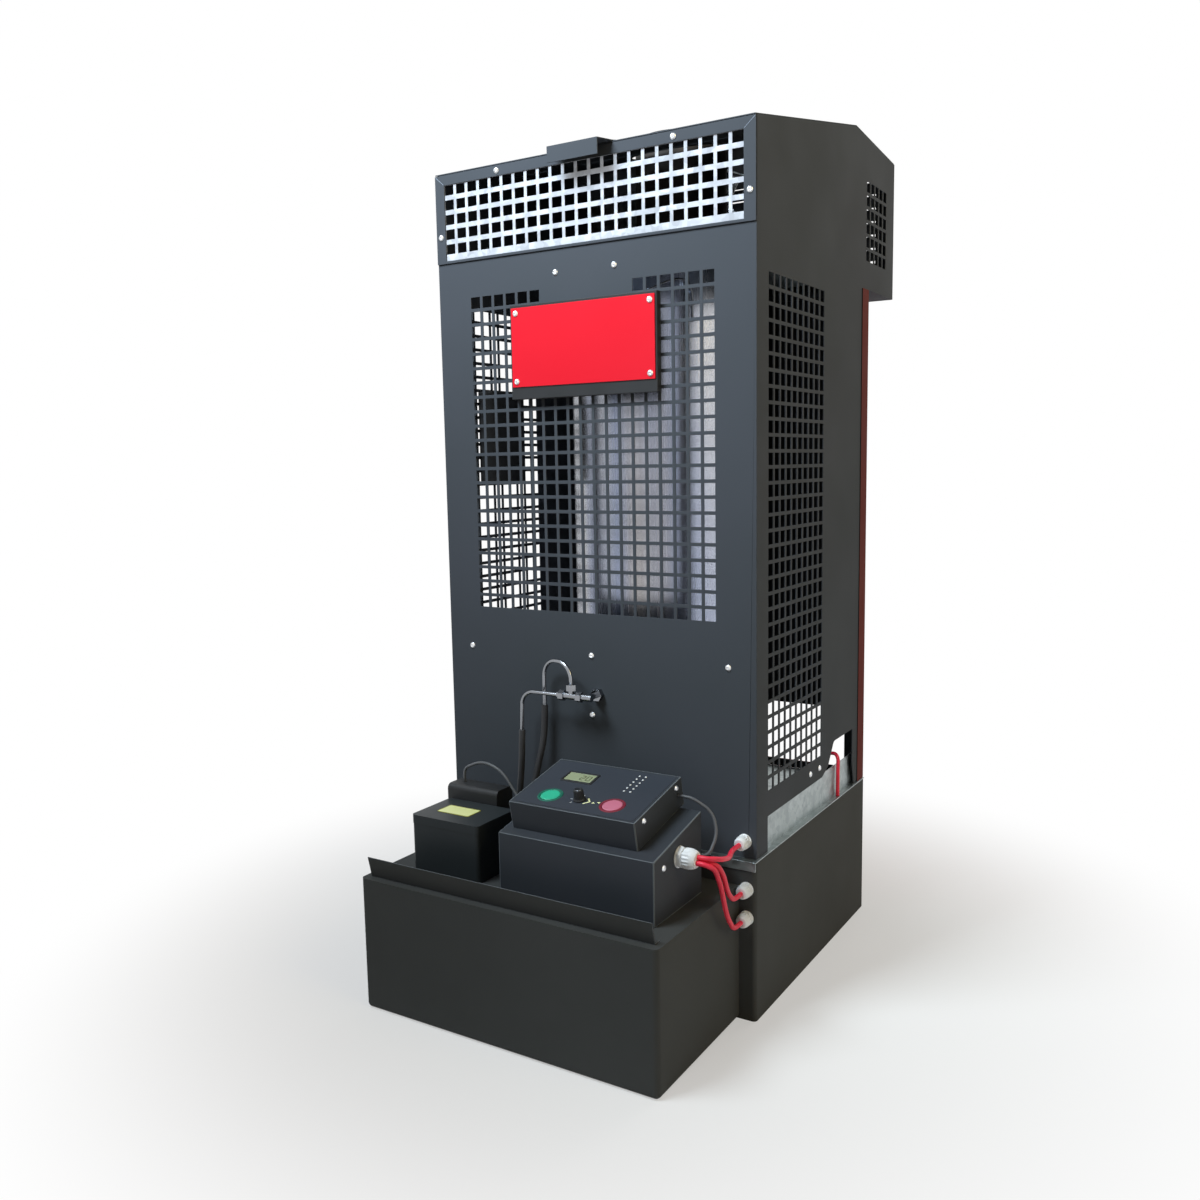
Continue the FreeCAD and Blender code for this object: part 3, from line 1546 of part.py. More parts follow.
def build():
    pieces["base_housing"] = base_housing()
    pieces["drip_tray"] = drip_tray()
    pieces["fuel_tank"] = fused([fuel_tank(), filler_neck()])
    pieces["tank_rim"] = tank_rim()
    both_hands("side_panel", side_panel())
    both_hands("side_grille", crossed_bars(side_field_y(), side_field_z(), side_columns, side_rows))
    both_hands("hood_grille", crossed_bars(hood_field_y(), hood_field_z(), hood_columns, hood_rows))
    pieces["rear_panel"] = rear_panel()
    pieces["top_grille_frame"] = top_grille_frame()
    pieces["top_grille_mesh"] = top_grille_mesh()
    pieces["front_panel"] = front_panel()
    pieces["hood_front"] = hood_front()
    pieces["outlet_louvres"] = outlet_louvres()
    pieces["roof_panel"] = roof_panel()
    pieces["lid"] = lid()
    pieces["lid_handle"] = lid_handle()
    pieces["roof_hinges"], pieces["lid_hinges"] = lid_hinges()
    pieces["combustion_chamber"] = fused([combustion_chamber(), hatch_hinge()])
    pieces["flue_collar"] = flue_collar()
    pieces["lighting_hatch"] = lighting_hatch()
    pieces["burner_pot"] = burner_pot()
    pieces["burner_ring"] = burner_ring()
    pieces["burner_legs"] = burner_legs()
    pieces["air_pipe"] = air_pipe()
    pieces["blower_housing"] = blower_housing()
    pieces["blower_wheel"] = blower_wheel_piece()
    pieces["blower_motor"] = blower_motor()
    pieces["fan_plate"] = fan_plate()
    pieces["fan_rotor"] = fan_rotor()
    pieces["fan_motor"] = fan_motor()
    pieces["fan_bracket"] = fan_bracket()
    pieces["plate_box"] = plate_box()
    pieces["red_plate"] = red_plate()
    pieces["thermostat_box"] = thermostat_box()
    pieces["capillary"] = capillary()
    pieces["screws"] = group(panel_screws() + plate_screws() + control_screws())
    pieces["control_stand"] = control_stand()
    pieces["control_box"] = control_box()
    pieces["control_board"] = control_board()
    pieces["start_button"] = push_button(start_u)
    pieces["stop_button"] = push_button(stop_u)
    pieces["selector_knob"] = selector_knob()
    pieces["panel_display"] = group([display_window()] + indicator_lights())
    pieces["pump_box"] = pump_box()
    pieces["pump_box_lid"] = pump_box_lid()
    pieces["pump_motor_cover"] = pump_motor_cover()
    pieces["suction_pipe"] = suction_pipe()
    pieces["filler_cap"] = filler_cap()
    pieces["feed_tee"] = feed_tee()
    pieces["fuel_fittings"] = group(feed_nuts() + hose_nipples())
    pieces["fuel_pipes"], pieces["fuel_hoses"] = fuel_lines()
    pieces["burner_feed_pipe"] = burner_feed_pipe()
    pieces["cable_glands"] = group([main_gland()] + lead_glands())
    pieces["red_leads"] = group(red_leads() + [side_lead()])
    pieces["control_leads"] = group([panel_lead(), pump_lead()])


build()
os.makedirs("parts", exist_ok=True)
for name, shape in pieces.items():
    if not shape.isValid():
        print("not valid:", name)
    shape.translated(Vector(0, origin_shift, 0)).exportStep(f"parts/{name}.step")
print(len(pieces), "nodes")
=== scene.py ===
import math

import bmesh
import bpy
from mathutils import Matrix, Vector


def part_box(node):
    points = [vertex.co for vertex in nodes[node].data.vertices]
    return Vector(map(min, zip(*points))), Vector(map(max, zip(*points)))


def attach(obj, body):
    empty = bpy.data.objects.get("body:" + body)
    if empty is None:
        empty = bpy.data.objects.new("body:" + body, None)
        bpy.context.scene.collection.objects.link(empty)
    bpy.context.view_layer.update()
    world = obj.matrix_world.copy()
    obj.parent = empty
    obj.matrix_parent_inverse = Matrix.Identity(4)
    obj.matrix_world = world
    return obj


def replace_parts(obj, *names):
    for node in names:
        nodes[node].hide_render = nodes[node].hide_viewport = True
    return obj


# Looks of a multi-fuel space heater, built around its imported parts.
# Metres, +Z up, -Y towards the operator, +X to the operator's right.

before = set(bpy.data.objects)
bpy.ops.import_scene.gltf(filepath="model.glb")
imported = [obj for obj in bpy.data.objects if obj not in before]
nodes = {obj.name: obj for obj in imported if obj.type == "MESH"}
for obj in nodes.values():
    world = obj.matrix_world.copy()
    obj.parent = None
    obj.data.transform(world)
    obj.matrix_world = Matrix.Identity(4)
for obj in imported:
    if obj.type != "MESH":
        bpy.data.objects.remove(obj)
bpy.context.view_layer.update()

# Sizes shared with the parts
pitch = 0.022
side_hole = 0.017
mesh_hole_width = 0.017
mesh_hole_height = 0.015
mesh_upright = pitch - mesh_hole_width
mesh_level = pitch - mesh_hole_height
front_sheet = 0.0015
rear_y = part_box("rear_panel")[0].y
pump_lid_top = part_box("pump_box_lid")[1].z

# Softened edges: their widths, from thin sheet to large boxes, and the least bend that counts as an edge
thin_edge = 0.0003
sheet_edge = 0.0004
rim_edge = 0.0005
casting_edge = 0.0006
cover_edge = 0.0008
housing_edge = 0.0012
base_edge = 0.0015
box_edge = 0.0020
edge_angle = 35.0
gland_edge_angle = 40.0
edge_segments = 2
weld_distance = 0.00001
normal_weight = 60

# How finely round forms are divided
ring_steps = 72
circle_steps = 48
corner_steps = 6
small_corner_steps = 2
lamp_steps = 24
knob_steps = 96

# Screws: the head, its details as shares of its radius and height, how near to each other the points of one
# screw are, and the turn in degrees from one head to the next
screw_radius = 0.004
screw_height = 0.0024
screw_washer = 1.12
screw_washer_top = 0.12
screw_head_foot = 0.16
screw_shoulder = 0.3
screw_crown = 0.2
screw_dome_rings = 7
screw_cross_arm = 0.62
screw_cross_half = 0.13
screw_cross_floor = 0.45
screw_cross_cutter = 1.4
screw_reach = 0.012
screw_turn = 37
level_tolerance = 0.00005

# Cable glands: one on the stand, two on the base and one on the rear panel
main_gland_place = (0.212, rear_y - 0.128, 0.272)
main_gland_radius = 0.014
main_gland_length = 0.028
small_gland_radius = 0.010
small_gland_length = 0.020
base_gland_x = 0.258
base_gland_y = rear_y - 0.012
base_gland_heights = (0.153, 0.195)
rear_gland_place = (0.250, rear_y, 0.260)
gland_flats = 6
gland_ribs = 18
gland_rib_depth = 0.07

# Tilted control panel: u across, v up the slope, w out of it
panel_tilt = math.radians(12)
panel_front = rear_y - 0.180
stand_top = 0.286
box_setback = 0.017
panel_foot = stand_top + box_setback * math.tan(panel_tilt)
panel_height = 0.041
panel_left = -0.022
panel_right = 0.179
panel_depth = 0.136
control_row = 0.033
start_u = 0.027
knob_u = 0.075
stop_u = 0.127

# Overlay on the panel and collars of the buttons
overlay_margin = 0.005
overlay_corner = 0.004
overlay_thickness = 0.0004
film_chamfer = 0.0001
shaft_hole = 0.0038
cutter_reach = 0.001
button_radius = 0.014
button_gap = 0.0006
bezel_width = 0.0044
bezel_height = 0.0009
bezel_slope = 0.0006

# Display and its two figures
display_u = 0.041
display_v = 0.090
display_width = 0.046
display_length = 0.024
display_corner = 0.001
display_thickness = 0.0008
display_frame_width = 0.003
display_frame_lap = 0.0005
display_frame_height = 0.0016
display_frame_slope = 0.0006
display_frame_corner = 0.002
display_frame_inner_corner = 0.0006
figure_width = 0.0062
figure_height = 0.0118
figure_bar = 0.0011
figure_bar_gap = 0.6
figure_bar_corner = 0.3
figure_foot = 0.0007
figure_top = 0.0010
figure_places = (0.004, 0.014)

# Lamps beside the display
lamp_u = 0.122
lamp_v = 0.074
lamp_step_u = 0.010
lamp_step_v = 0.009
lamp_columns = 2
lamp_rows = 6
lamp_radius = 0.0017
lamp_foot = 0.0004
lamp_dome = 0.0011
lamp_dome_rings = 6
lamp_collar_width = 0.0007
lamp_collar_height = 0.0003
lamp_collar_slope = 0.0002

# Marks printed on the overlay, placed from the knob's axis, with turns in degrees
mark_thickness = 0.0001
tick_width = 0.0009
tick_length = 0.0032
tick_corner = 0.0003
tick_reach = 0.0055
tick_count = 4
tick_first = -135
tick_step = 45
chevron_length = 0.0105
chevron_width = 0.0024
chevron_corner = 0.0005
chevron_u = 0.0130
chevron_v = 0.0038
chevron_turn = 50
wedge_half = 0.0024
wedge_v = 0.0015
left_wedge_u = 0.0235
right_wedge_u = 0.0290

# Selector knob
knob_radius = 0.0074
knob_height = 0.016
knob_lift = 0.0003
knob_flutes = 16
knob_flute_depth = 0.0005
knob_cap_share = 0.66
knob_cap_top_share = 0.60
knob_cap_edge = 0.0004
knob_cap_height = 0.0006
pointer_width = 0.0008
pointer_length = 0.0030
pointer_corner = 0.0002
pointer_low = 0.0021
pointer_high = 0.0024
pointer_reach = 1.02
pointer_drop = 0.0009

# Blank label on the pump box's lid
label_place = (-0.146, rear_y - 0.145)
label_width = 0.056
label_length = 0.030
label_corner = 0.002
label_thickness = 0.0004
label_border = 0.0015

# Seams across the mitred corners of the top frame, in light grey as a painted highlight of the lit joint
seam_inset = 0.001
seam_width = 0.0006
seam_corner = 0.0002
seam_thickness = 0.00012

# Dark strip behind the joint of red front and hood, which blocks light through the fine gap so the joint
# stays in shade
blocker_inset = 0.016
blocker_gap = 0.0002
blocker_thickness = 0.002
blocker_lap = 0.006

# Faces that get painted shade or a painted highlight: how far a face has to turn to a side, and where a
# rounded edge is lit
turned_to = 0.5
bend_low = 0.55
bend_high = 0.85

# World and floor: the floor is least white under the object and plain white beyond the fade
white = (1, 1, 1, 1)
white_strength = 1.0
world_strength = 0.13
floor_reach = 30.0
floor_tone = (0.97, 0.95, 0.92, 1)
floor_roughness = 0.9
floor_specular = 0.1
fade_start = 0.35
fade_end = 1.05
fade_least = 0.4

# Camera of the photograph
camera_place = Vector((0.85837, -1.53949, 0.79176))
camera_azimuth = math.radians(31.646)
camera_elevation = math.radians(7.128)
camera_roll = math.radians(-1.030)
camera_lens = 32.64
camera_sensor = 36.0
camera_near = 0.05
camera_far = 60.0


# Materials

def colour(code):
    """Linear colour of a six-digit sRGB code."""
    values = [int(code[i:i + 2], 16) / 255 for i in (0, 2, 4)]
    return tuple(v / 12.92 if v <= 0.04045 else ((v + 0.055) / 1.055) ** 2.4 for v in values) + (1.0,)


class Surface:
    """A procedural material: textures in the object's own coordinates on one shader."""

    # Most values of a texture lie between these
    texture_low = 0.25
    texture_high = 0.75

    def __init__(self, name, metallic=0.0, specular=0.5):
        self.material = bpy.data.materials.new(name)
        self.material.use_nodes = True
        self.tree = self.material.node_tree
        self.shader = self.tree.nodes["Principled BSDF"]
        self.shader.inputs["Metallic"].default_value = metallic
        self.shader.inputs["Specular IOR Level"].default_value = specular
        self.coords = self.tree.nodes.new("ShaderNodeTexCoord").outputs["Object"]

    def stretched(self, stretch):
        """Coordinates scaled along each axis, which draws a texture out into lines."""
        mapping = self.tree.nodes.new("ShaderNodeMapping")
        mapping.inputs["Scale"].default_value = stretch
        self.tree.links.new(self.coords, mapping.inputs["Vector"])
        return mapping.outputs["Vector"]

    def noise(self, scale, detail=3.0, stretch=(1, 1, 1)):
        """Cloudy texture."""
        texture = self.tree.nodes.new("ShaderNodeTexNoise")
        texture.inputs["Scale"].default_value = scale
        texture.inputs["Detail"].default_value = detail
        self.tree.links.new(self.stretched(stretch), texture.inputs["Vector"])
        return texture.outputs["Fac"]

    def cells(self, scale):
        """Patchwork texture with one grey for each cell."""
        texture = self.tree.nodes.new("ShaderNodeTexVoronoi")
        texture.inputs["Scale"].default_value = scale
        self.tree.links.new(self.coords, texture.inputs["Vector"])
        grey = self.tree.nodes.new("ShaderNodeRGBToBW")
        self.tree.links.new(texture.outputs["Color"], grey.inputs["Color"])
        return grey.outputs["Val"]

    def tint(self, factor, stops):
        """Base colour from a texture, by colour stops at places along it."""
        ramp = self.tree.nodes.new("ShaderNodeValToRGB")
        elements = ramp.color_ramp.elements
        middle = 0.5
        while len(elements) < len(stops):
            elements.new(middle)
        for element, (place, code) in zip(elements, stops):
            element.position = place
            element.color = colour(code)
        self.tree.links.new(factor, ramp.inputs["Fac"])
        self.tree.links.new(ramp.outputs["Color"], self.shader.inputs["Base Color"])

    def rough(self, factor, roughness):
        """Roughness from a texture, between a lowest and a highest value."""
        low, high = roughness
        spread = self.tree.nodes.new("ShaderNodeMapRange")
        spread.inputs["From Min"].default_value = self.texture_low
        spread.inputs["From Max"].default_value = self.texture_high
        spread.inputs["To Min"].default_value = low
        spread.inputs["To Max"].default_value = high
        self.tree.links.new(factor, spread.inputs["Value"])
        self.tree.links.new(spread.outputs["Result"], self.shader.inputs["Roughness"])

    def bump(self, factor, distance, strength):
        """Relief from a texture."""
        node = self.tree.nodes.new("ShaderNodeBump")
        node.inputs["Strength"].default_value = strength
        node.inputs["Distance"].default_value = distance
        self.tree.links.new(factor, node.inputs["Height"])
        self.tree.links.new(node.outputs["Normal"], self.shader.inputs["Normal"])


def powder_coat(name, dark, light, roughness=(0.62, 0.74), specular=0.05):
    """Satin powder coat: faint clouding, uneven sheen and a fine orange-peel skin."""
    surface = Surface(name, specular=specular)
    surface.tint(surface.noise(scale=3.0), [(0.3, dark), (0.7, light)])
    surface.rough(surface.noise(scale=9.0, detail=4.0), roughness)
    surface.bump(surface.noise(scale=900.0, detail=2.0), distance=0.00006, strength=0.4)
    return surface.material


def galvanised_sheet(name, dark, light, roughness=(0.34, 0.52)):
    """Zinc-coated steel with its faint patchwork of crystals."""
    surface = Surface(name, metallic=1.0)
    surface.tint(surface.cells(scale=110.0), [(0.1, dark), (0.9, light)])
    surface.rough(surface.cells(scale=70.0), roughness)
    surface.bump(surface.noise(scale=45.0), distance=0.0002, strength=0.2)
    return surface.material


def bright_metal(name, dark, light, roughness, grain):
    """Bright metal with a fine, even grain."""
    surface = Surface(name, metallic=1.0)
    surface.tint(surface.noise(scale=7.0, detail=4.0), [(0.3, dark), (0.7, light)])
    marks = surface.noise(scale=grain, detail=2.0)
    surface.rough(marks, roughness)
    surface.bump(marks, distance=0.00004, strength=0.4)
    return surface.material


def moulded(name, dark, light, roughness=(0.42, 0.60), grain=900.0, specular=0.4):
    """Moulded plastic or rubber with a fine grain."""
    surface = Surface(name, specular=specular)
    surface.tint(surface.noise(scale=18.0), [(0.3, dark), (0.7, light)])
    surface.rough(surface.noise(scale=40.0), roughness)
    surface.bump(surface.noise(scale=grain, detail=2.0), distance=0.00006, strength=0.5)
    return surface.material


def cast_iron(name):
    """Dark iron with a rough skin and rusty spots."""
    surface = Surface(name, metallic=0.6)
    surface.tint(surface.noise(scale=24.0, detail=6.0), [(0.3, "23211f"), (0.6, "3a3531"), (0.8, "52463c")])
    surface.rough(surface.noise(scale=30.0, detail=4.0), (0.60, 0.85))
    surface.bump(surface.noise(scale=320.0, detail=4.0), distance=0.0004, strength=0.8)
    return surface.material


def heat_tint_and_painted_reflection_steel(name):
    """Chamber steel: upright rolling lines, straw and blue heat tints, upright lighter and darker bands of
    painted reflection, and a shine.
    """
    surface = Surface(name, metallic=1.0)
    # Painted reflection: the base colour runs in upright lighter and darker bands, with straw and blue heat
    # tints among them
    surface.tint(surface.noise(scale=3.0, detail=2.0, stretch=(2.0, 2.0, 0.12)),
                 [(0.30, "8f96a6"), (0.45, "d3d5d9"), (0.58, "a9b3cc"), (0.74, "d2c9bb")])
    lines = surface.noise(scale=1.0, stretch=(260, 260, 3))
    surface.rough(lines, (0.20, 0.30))
    surface.bump(lines, distance=0.00003, strength=0.25)
    return surface.material


paints = {
    "cabinet": powder_coat("cabinet_paint", "484c50", "4d5056"),
    # Painted shade: near-black for the red front's faces that look back into the cabinet
    "inside": powder_coat("inner_painted_shade", "1d1e1f", "232426", (0.55, 0.70), specular=0.15),
    "base": powder_coat("base_paint", "464746", "4c4d4c"),
    "controls": powder_coat("control_paint", "393e42", "3f4248", (0.42, 0.54), specular=0.12),
    "overlay": powder_coat("panel_overlay", "3a3f47", "40444c", (0.34, 0.44), specular=0.20),
    "front": powder_coat("front_red_paint", "dc1c23", "e92129", (0.36, 0.48), specular=0.25),
    # Painted shade: dim red for the red front's narrow side returns, as red in shade
    "front_return": powder_coat("front_return_paint", "642f2a", "6b332d"),
    # Painted highlight: light grey for the mitre seams of the top frame
    "seam": powder_coat("seam_highlight_paint", "8e96a2", "99a0ae"),
    # Painted highlight: lighter paint for softened edges that catch the light
    "edge": powder_coat("edge_highlight_paint", "6a6f73", "72787d", (0.50, 0.60)),
    # Painted highlight: lighter paint for the lit middle of rounded upper edges
    "bend": powder_coat("bend_highlight_paint", "7e8184", "888c8d", (0.50, 0.60)),
    "plate": powder_coat("plate_red_paint", "e51e2e", "eb2434", (0.34, 0.44), specular=0.12),
    "motor": powder_coat("motor_paint", "2c3133", "333739", (0.38, 0.50), specular=0.14),
    "galvanised": galvanised_sheet("galvanised_steel", "8f9797", "a3abab"),
    "mesh": galvanised_sheet("bright_zinc", "b9bcc1", "c9ccd1", (0.86, 0.96)),
    "chamber": heat_tint_and_painted_reflection_steel("chamber_steel"),
    "steel": bright_metal("plated_steel", "7f8287", "989ba0", (0.16, 0.26), grain=90.0),
    "zinc": bright_metal("screw_zinc", "d3d6d9", "e9ebed", (0.24, 0.40), grain=500.0),
    "aluminium": bright_metal("fan_aluminium", "a6a8ab", "c8cacc", (0.18, 0.34), grain=160.0),
    "iron": cast_iron("burner_iron"),
    "plastic": moulded("black_plastic", "1f2122", "28292b", specular=0.3),
    "nylon": moulded("white_nylon", "f2f4f5", "fafbfb", (0.35, 0.50), grain=500.0),
    "silicone": moulded("red_silicone", "f02642", "f63450", (0.40, 0.55)),
    "rubber": moulded("black_rubber", "222326", "313234"),
    "grey_lead": moulded("grey_lead_sheath", "505356", "616265", (0.40, 0.55)),
    "green": moulded("green_cap_plastic", "31b68f", "3ac79e", (0.30, 0.42)),
    "red": moulded("red_cap_plastic", "cf7288", "d88098", (0.30, 0.42)),
    "dark_green": moulded("green_rim_plastic", "155f4d", "1b6f5b", (0.40, 0.50)),
    "dark_red": moulded("red_rim_plastic", "792233", "88293a", (0.40, 0.50)),
    "board": moulded("board_lacquer", "1e613e", "28734b", (0.30, 0.45)),
    "label": moulded("blank_label", "f0f3a6", "f4f6b2", (0.40, 0.55), grain=300.0),
    "label_edge": moulded("label_border", "928f1e", "a3a024", (0.40, 0.55), grain=300.0),
    "display": moulded("display_face", "9da582", "a8b08e", (0.16, 0.28), grain=300.0),
    "ink": moulded("display_figure", "3a3e1e", "474926", (0.40, 0.50)),
    "mark": moulded("panel_mark", "d7d9d6", "e6e8e5", (0.40, 0.55)),
    "pale_mark": moulded("heat_mark", "f5f6b2", "f6f6c6", (0.40, 0.55)),
    "lamp": moulded("lamp_lens", "dfe2e2", "f0f2f2", (0.12, 0.25)),
}


# Pieces

def finish_edges(piece, width=0.0, angle=edge_angle, edge_highlight_material=-1):
    """Smooth round faces and, where a width is given, soften the edges."""
    weld = piece.modifiers.new("weld", "WELD")
    weld.merge_threshold = weld_distance
    if width > 0:
        soft = piece.modifiers.new("soft_edges", "BEVEL")
        soft.width = width
        soft.segments = edge_segments
        soft.limit_method = "ANGLE"
        soft.angle_limit = math.radians(angle)
        soft.use_clamp_overlap = True
        soft.material = edge_highlight_material
    for polygon in piece.data.polygons:
        polygon.use_smooth = True
    normals = piece.modifiers.new("normals", "WEIGHTED_NORMAL")
    normals.keep_sharp = True
    normals.weight = normal_weight


def dress(node, paint, width=0.0, edge_highlight_paint=None):
    """Give a CAD node its material and, where asked, softened edges with a lighter paint as a painted
    highlight.
    """
    piece = nodes[node]
    piece.data.materials.clear()
    piece.data.materials.append(paints[paint])
    if edge_highlight_paint:
        piece.data.materials.append(paints[edge_highlight_paint])
    finish_edges(piece, width, edge_highlight_material=1 if edge_highlight_paint else -1)


def make_piece(name, mesh, paint, body="heater", place=Matrix()):
    """Link a mesh as a piece that rides on a body."""
    piece = bpy.data.objects.new(name, mesh)
    bpy.context.scene.collection.objects.link(piece)
    piece.matrix_world = place
    mesh.materials.clear()
    mesh.materials.append(paints[paint])
    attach(piece, body)
    return piece


def smooth_piece(name, mesh, paint, body="heater", place=Matrix()):
    """Piece with welded points and smooth round faces."""
    piece = make_piece(name, mesh, paint, body, place)
    finish_edges(piece)
    return piece


# Mesh helpers

def mesh_from(name, build):
    """Mesh made by a function that fills a bmesh."""
    form = bmesh.new()
    build(form)
    bmesh.ops.recalc_face_normals(form, faces=form.faces)
    mesh = bpy.data.meshes.new(name)
    form.to_mesh(mesh)
    form.free()
    return mesh


def join_loops(form, first, second):
    """Band of faces between two closed loops of as many points."""
    for index in range(len(first)):
        after = (index + 1) % len(first)
        form.faces.new([first[index], first[after], second[after], second[index]])


def lofted(name, rings):
    """Closed mesh through rings of as many points each, with a flat cap at both ends."""
    def build(form):
        loops = [[form.verts.new(point) for point in ring] for ring in rings]
        for lower, upper in zip(loops, loops[1:]):
            join_loops(form, lower, upper)
        form.faces.new(loops[0][::-1])
        form.faces.new(loops[-1])

    return mesh_from(name, build)


def shaped_ring(height, radius, flats=0, ribs=0, depth=0.0, steps=ring_steps):
    """Level ring of points: round, with flats as on a hexagon nut, or with ribs."""
    points = []
    for step in range(steps):
        angle = 2 * math.pi * step / steps
        reach = radius
        if flats:
            sector = angle % (2 * math.pi / flats) - math.pi / flats
            reach = radius * math.cos(math.pi / flats) / math.cos(sector)
        if ribs:
            reach -= depth * (0.5 + 0.5 * math.cos(ribs * angle))
        points.append((reach * math.cos(angle), reach * math.sin(angle), height))
    return points


def circle(radius, steps=circle_steps):
    """Outline about the origin, as (x, y) points."""
    angles = [2 * math.pi * step / steps for step in range(steps)]
    return [(radius * math.cos(angle), radius * math.sin(angle)) for angle in angles]


def rounded_rectangle(width, length, corner, steps=corner_steps):
    """Outline about the origin, with round corners, as (x, y) points."""
    points = []
    for quarter, (side, end) in enumerate(((1, 1), (-1, 1), (-1, -1), (1, -1))):
        centre_x = side * (width / 2 - corner)
        centre_y = end * (length / 2 - corner)
        for step in range(steps + 1):
            angle = math.pi / 2 * (quarter + step / steps)
            points.append((centre_x + corner * math.cos(angle), centre_y + corner * math.sin(angle)))
    return points


def half_span(outline):
    """How far an outline reaches from the origin along an axis."""
    return max(max(abs(x), abs(y)) for x, y in outline)


def plate(name, outline, low, high, chamfer=0.0):
    """Flat plate with an outline, its upper edge chamfered."""
    shrink = 1 - chamfer / half_span(outline)
    rings = [[(x, y, low) for x, y in outline],
             [(x, y, high - chamfer) for x, y in outline],
             [(x * shrink, y * shrink, high) for x, y in outline]]
    return lofted(name, rings)


def rim(name, outer, inner, low, high, slope=0.0):
    """Frame between two outlines of as many points, its outer top edge sloped."""
    def build(form):
        def loop(outline, height, scale=1.0):
            return [form.verts.new((x * scale, y * scale, height)) for x, y in outline]

        shrink = 1 - slope / half_span(outer)
        loops = [loop(inner, low), loop(outer, low), loop(outer, (low + high) / 2),
                 loop(outer, high, shrink), loop(inner, high)]
        for first, second in zip(loops, loops[1:] + loops[:1]):
            join_loops(form, first, second)

    return mesh_from(name, build)


def cut_away(solid, cutter):
    """Mesh of a solid with a cutter taken out of it."""
    body = bpy.data.objects.new("cut_body", solid)
    tool = bpy.data.objects.new("cut_tool", cutter)
    for thing in (body, tool):
        bpy.context.scene.collection.objects.link(thing)
    cut = body.modifiers.new("cut", "BOOLEAN")
    cut.operation = "DIFFERENCE"
    cut.solver = "EXACT"
    cut.object = tool
    mesh = bpy.data.meshes.new_from_object(body.evaluated_get(bpy.context.evaluated_depsgraph_get()))
    bpy.data.objects.remove(body)
    bpy.data.objects.remove(tool)
    return mesh


def gathered(name, forms):
    """One mesh from (mesh, placement) pairs."""
    whole = bmesh.new()
    for form, place in forms:
        start = len(whole.verts)
        whole.from_mesh(form)
        whole.verts.ensure_lookup_table()
        bmesh.ops.transform(whole, matrix=place, verts=whole.verts[start:])
    mesh = bpy.data.meshes.new(name)
    whole.to_mesh(mesh)
    whole.free()
    return mesh


def towards(axis, place):
    """Placement that turns +Z to an axis and moves the origin to a place."""
    turn = Vector((0, 0, 1)).rotation_difference(Vector(axis)).to_matrix().to_4x4()
    return Matrix.Translation(Vector(place)) @ turn


# Painted, plated and moulded CAD parts

# Groups of parts with one paint and one width of softened edges
finishes = [
    ("base", base_edge, ["base_housing"]),
    ("base", box_edge, ["fuel_tank"]),
    ("galvanised", sheet_edge, ["drip_tray"]),
    ("cabinet", thin_edge, ["side_panel_left", "side_panel_right", "rear_panel", "top_grille_frame",
                            "roof_panel", "lid", "lid_handle", "hood_front", "outlet_louvres"]),
    ("front", sheet_edge, ["front_panel"]),
    ("steel", 0.0, ["roof_hinges", "lid_hinges", "fuel_pipes", "burner_feed_pipe", "suction_pipe",
                    "capillary", "fan_bracket"]),
    ("steel", casting_edge, ["feed_tee", "fuel_fittings"]),
    ("chamber", sheet_edge, ["combustion_chamber"]),
    ("iron", casting_edge, ["flue_collar", "lighting_hatch", "burner_pot", "burner_ring"]),
    ("galvanised", thin_edge, ["burner_legs", "air_pipe", "blower_housing", "blower_wheel", "fan_plate"]),
    ("aluminium", thin_edge, ["fan_rotor"]),
    ("motor", housing_edge, ["blower_motor", "fan_motor", "pump_box", "pump_box_lid"]),
    ("plastic", cover_edge, ["pump_motor_cover", "filler_cap"]),
    ("plastic", housing_edge, ["plate_box", "thermostat_box"]),
    ("plate", sheet_edge, ["red_plate"]),
    ("board", 0.0, ["control_board"]),
    ("green", sheet_edge, ["start_button"]),
    ("red", sheet_edge, ["stop_button"]),
    ("rubber", 0.0, ["fuel_hoses"]),
    ("silicone", 0.0, ["red_leads"]),
    ("grey_lead", 0.0, ["control_leads"]),
]


def dress_parts():
    """Paint every group, and the parts whose softened edges get a lighter paint as a painted highlight."""
    for paint, width, group in finishes:
        for node in group:
            dress(node, paint, width)
    # Painted highlight on the softened edges of the rim, stand and box
    dress("tank_rim", "base", rim_edge, "edge")
    dress("control_stand", "controls", box_edge, "edge")
    dress("control_box", "controls", box_edge, "edge")


def paint_front_panel():
    """Painted shade: near-black paint on the faces that look back into the cabinet, and dim red on the
    narrow returns as red in shade.
    """
    mesh = nodes["front_panel"].data
    mesh.materials.append(paints["inside"])
    mesh.materials.append(paints["front_return"])
    # Painted shade on the faces turned back into the cabinet and on the side returns
    for polygon in mesh.polygons:
        if polygon.normal.y < -turned_to:
            polygon.material_index = 1
        elif abs(polygon.normal.x) > turned_to:
            polygon.material_index = 2


def paint_bend_highlights(node):
    """Painted highlight: lighter paint along the middle of the rounded upper edges, which catch the light.
    """
    mesh = nodes[node].data
    mesh.materials.append(paints["bend"])
    for polygon in mesh.polygons:
        if bend_low < polygon.normal.z < bend_high:
            polygon.material_index = 1


dress_parts()
paint_front_panel()
paint_bend_highlights("fuel_tank")
paint_bend_highlights("pump_box_lid")


# Punched sheets

def hole_count(span):
    """Holes in a row of the side grilles that starts and ends with a hole."""
    return round((span - side_hole) / pitch) + 1


def grid_steps(count, width, first=0.0, last=0.0):
    """Edges of holes in a row, from 0, with a bar of a given width before the first and after the last."""
    steps = [-first] if first > 0 else []
    for index in range(count):
        steps += [index * pitch, index * pitch + width]
    return steps + ([steps[-1] + last] if last > 0 else [])


